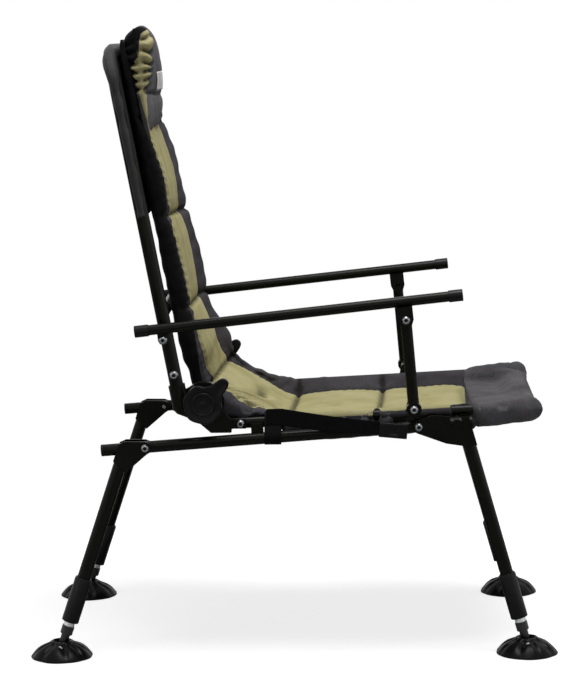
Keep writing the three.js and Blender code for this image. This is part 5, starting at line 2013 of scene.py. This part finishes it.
@dataclass
class Studio:
    """The pale floor, the soft lights and the camera of the photograph.

    The camera's place is in metres and its turns are in radians, as fitted to the photograph.
    Each lamp has its name, its place and the side of its square in metres, and its power in
    watts.
    """

    place: tuple[float, float, float] = (0.092956, -4.61973, 1.153907)
    pitch: float = 0.13187693
    yaw: float = 0.01985217
    roll: float = -0.01291591
    lens: float = 123.43
    aim: tuple[float, float, float] = (0, 0, 0.55)
    lamps: tuple[tuple[str, tuple[float, float, float], float, float], ...] = (
        ("top_softbox", (0.3, -0.5, 3.6), 1.7, 98), ("front_strip", (3.4, -1.0, 1.3), 1.1, 7),
        ("rear_strip", (-3.0, -2.4, 1.6), 0.9, 9),
    )
    floor_radius: float = 14.0
    floor_drop: float = 0.0004
    pale_from: float = 0.8
    white_from: float = 1.9

    def camera(self) -> None:
        """Sets up the camera at the photograph's viewing angle."""
        cp, sp = math.cos(self.pitch), math.sin(self.pitch)
        cy, sy = math.cos(self.yaw), math.sin(self.yaw)
        ahead = Vector((-sy * cp, cy * cp, -sp))
        level = Vector((cy, sy, 0))
        rise = level.cross(ahead)
        right = level * math.cos(self.roll) + rise * math.sin(self.roll)
        up = rise * math.cos(self.roll) - level * math.sin(self.roll)
        data = bpy.data.cameras.new("photograph")
        data.lens = self.lens
        data.sensor_width = 36
        data.sensor_fit = "AUTO"
        camera = bpy.data.objects.new("photograph", data)
        columns = Matrix((right, up, -ahead)).transposed().to_4x4()
        camera.matrix_world = Matrix.Translation(Vector(self.place)) @ columns
        bpy.context.scene.collection.objects.link(camera)
        bpy.context.scene.camera = camera

    def lamp(self, name: str, place: Sequence[float], size: float, power: float) -> None:
        """Adds a soft lamp that faces the chair.

        Args:
            name: the lamp's name.
            place: where it hangs, metres.
            size: side of its square, metres.
            power: its power, watts.
        """
        data = bpy.data.lights.new(name, "AREA")
        data.shape = "SQUARE"
        data.size = size
        data.energy = power
        lamp = bpy.data.objects.new(name, data)
        turn = (Vector(self.aim) - Vector(place)).to_track_quat("-Z", "Y").to_matrix().to_4x4()
        lamp.matrix_world = Matrix.Translation(Vector(place)) @ turn
        bpy.context.scene.collection.objects.link(lamp)

    def world(self) -> None:
        """A white surround for the eye, and a plain soft level of light on the chair."""
        world = bpy.data.worlds.new("studio")
        bpy.context.scene.world = world
        tree = bare_tree(world)
        rays = add_node(tree, "LightPath").outputs
        shown = rays["Is Camera Ray"]
        for kind in ("Is Transmission Ray", "Is Glossy Ray"):
            either = add_node(tree, "Math", {0: shown, 1: rays[kind]}, operation="MAXIMUM")
            shown = either.outputs[0]
        soft, white = (
            add_node(
                tree, "Background", values={"Color": (1, 1, 1, 1), "Strength": strength}
            ).outputs[0]
            for strength in (0.1, 1.0)
        )
        mix = add_node(tree, "MixShader", {0: shown, 1: soft, 2: white})
        add_node(tree, "OutputWorld", {"Surface": mix.outputs[0]})

    def floor(self) -> None:
        """A pale floor that keeps the chair's shadow and turns plain white further out."""
        mesh = bmesh.new()
        bmesh.ops.create_circle(mesh, cap_ends=True, radius=self.floor_radius, segments=96)
        piece = keep_mesh("studio_floor", mesh)
        piece.data.transform(Matrix.Translation((0, 0, -self.floor_drop)))
        material = bpy.data.materials.new("pale_painted_floor")
        tree = bare_tree(material)
        place = add_node(tree, "TexCoord").outputs["Object"]
        away = add_node(tree, "VectorMath", {0: place}, operation="LENGTH").outputs["Value"]
        far = add_node(
            tree, "MapRange", {"Value": away},
            {"From Min": self.pale_from, "From Max": self.white_from},
        )
        camera = add_node(tree, "LightPath").outputs["Is Camera Ray"]
        share = add_node(tree, "Math", {0: far.outputs[0], 1: camera}, operation="MULTIPLY")
        matt = add_node(tree, "BsdfDiffuse", values={"Color": linear("#C9C9C8")})
        glow = add_node(tree, "Emission", values={"Color": (1, 1, 1, 1), "Strength": 1.0})
        lift = add_node(tree, "Math", {0: camera}, {1: 0.77}, operation="MULTIPLY")
        pale = add_node(tree, "Emission", {"Strength": lift.outputs[0]}, {"Color": (1, 1, 1, 1)})
        near = add_node(tree, "AddShader", {0: matt.outputs[0], 1: pale.outputs[0]})
        mix = add_node(
            tree, "MixShader", {0: share.outputs[0], 1: near.outputs[0], 2: glow.outputs[0]}
        )
        add_node(tree, "OutputMaterial", {"Surface": mix.outputs[0]})
        piece.data.materials.append(material)

    def build(self) -> None:
        """Sets up the whole studio."""
        bpy.context.scene.view_settings.view_transform = "Standard"
        self.camera()
        self.world()
        self.floor()
        for lamp in self.lamps:
            self.lamp(*lamp)


def main() -> None:
    """Builds the chair's pieces in order and the studio round them."""
    logging.basicConfig(level=logging.INFO, format="%(message)s")
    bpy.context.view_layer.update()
    Studio().build()
    TubeFrame().dress()
    makers = [Mattress(), HeadPillow(), FrontPocket(), RearHood()]
    for side in Side:
        makers += [SideStrap(side), ClampKnob(side), *(MudFoot(end, side) for end in End)]
    for maker in (*makers, Screws()):
        maker.make()


if __name__ == "__main__":
    main()
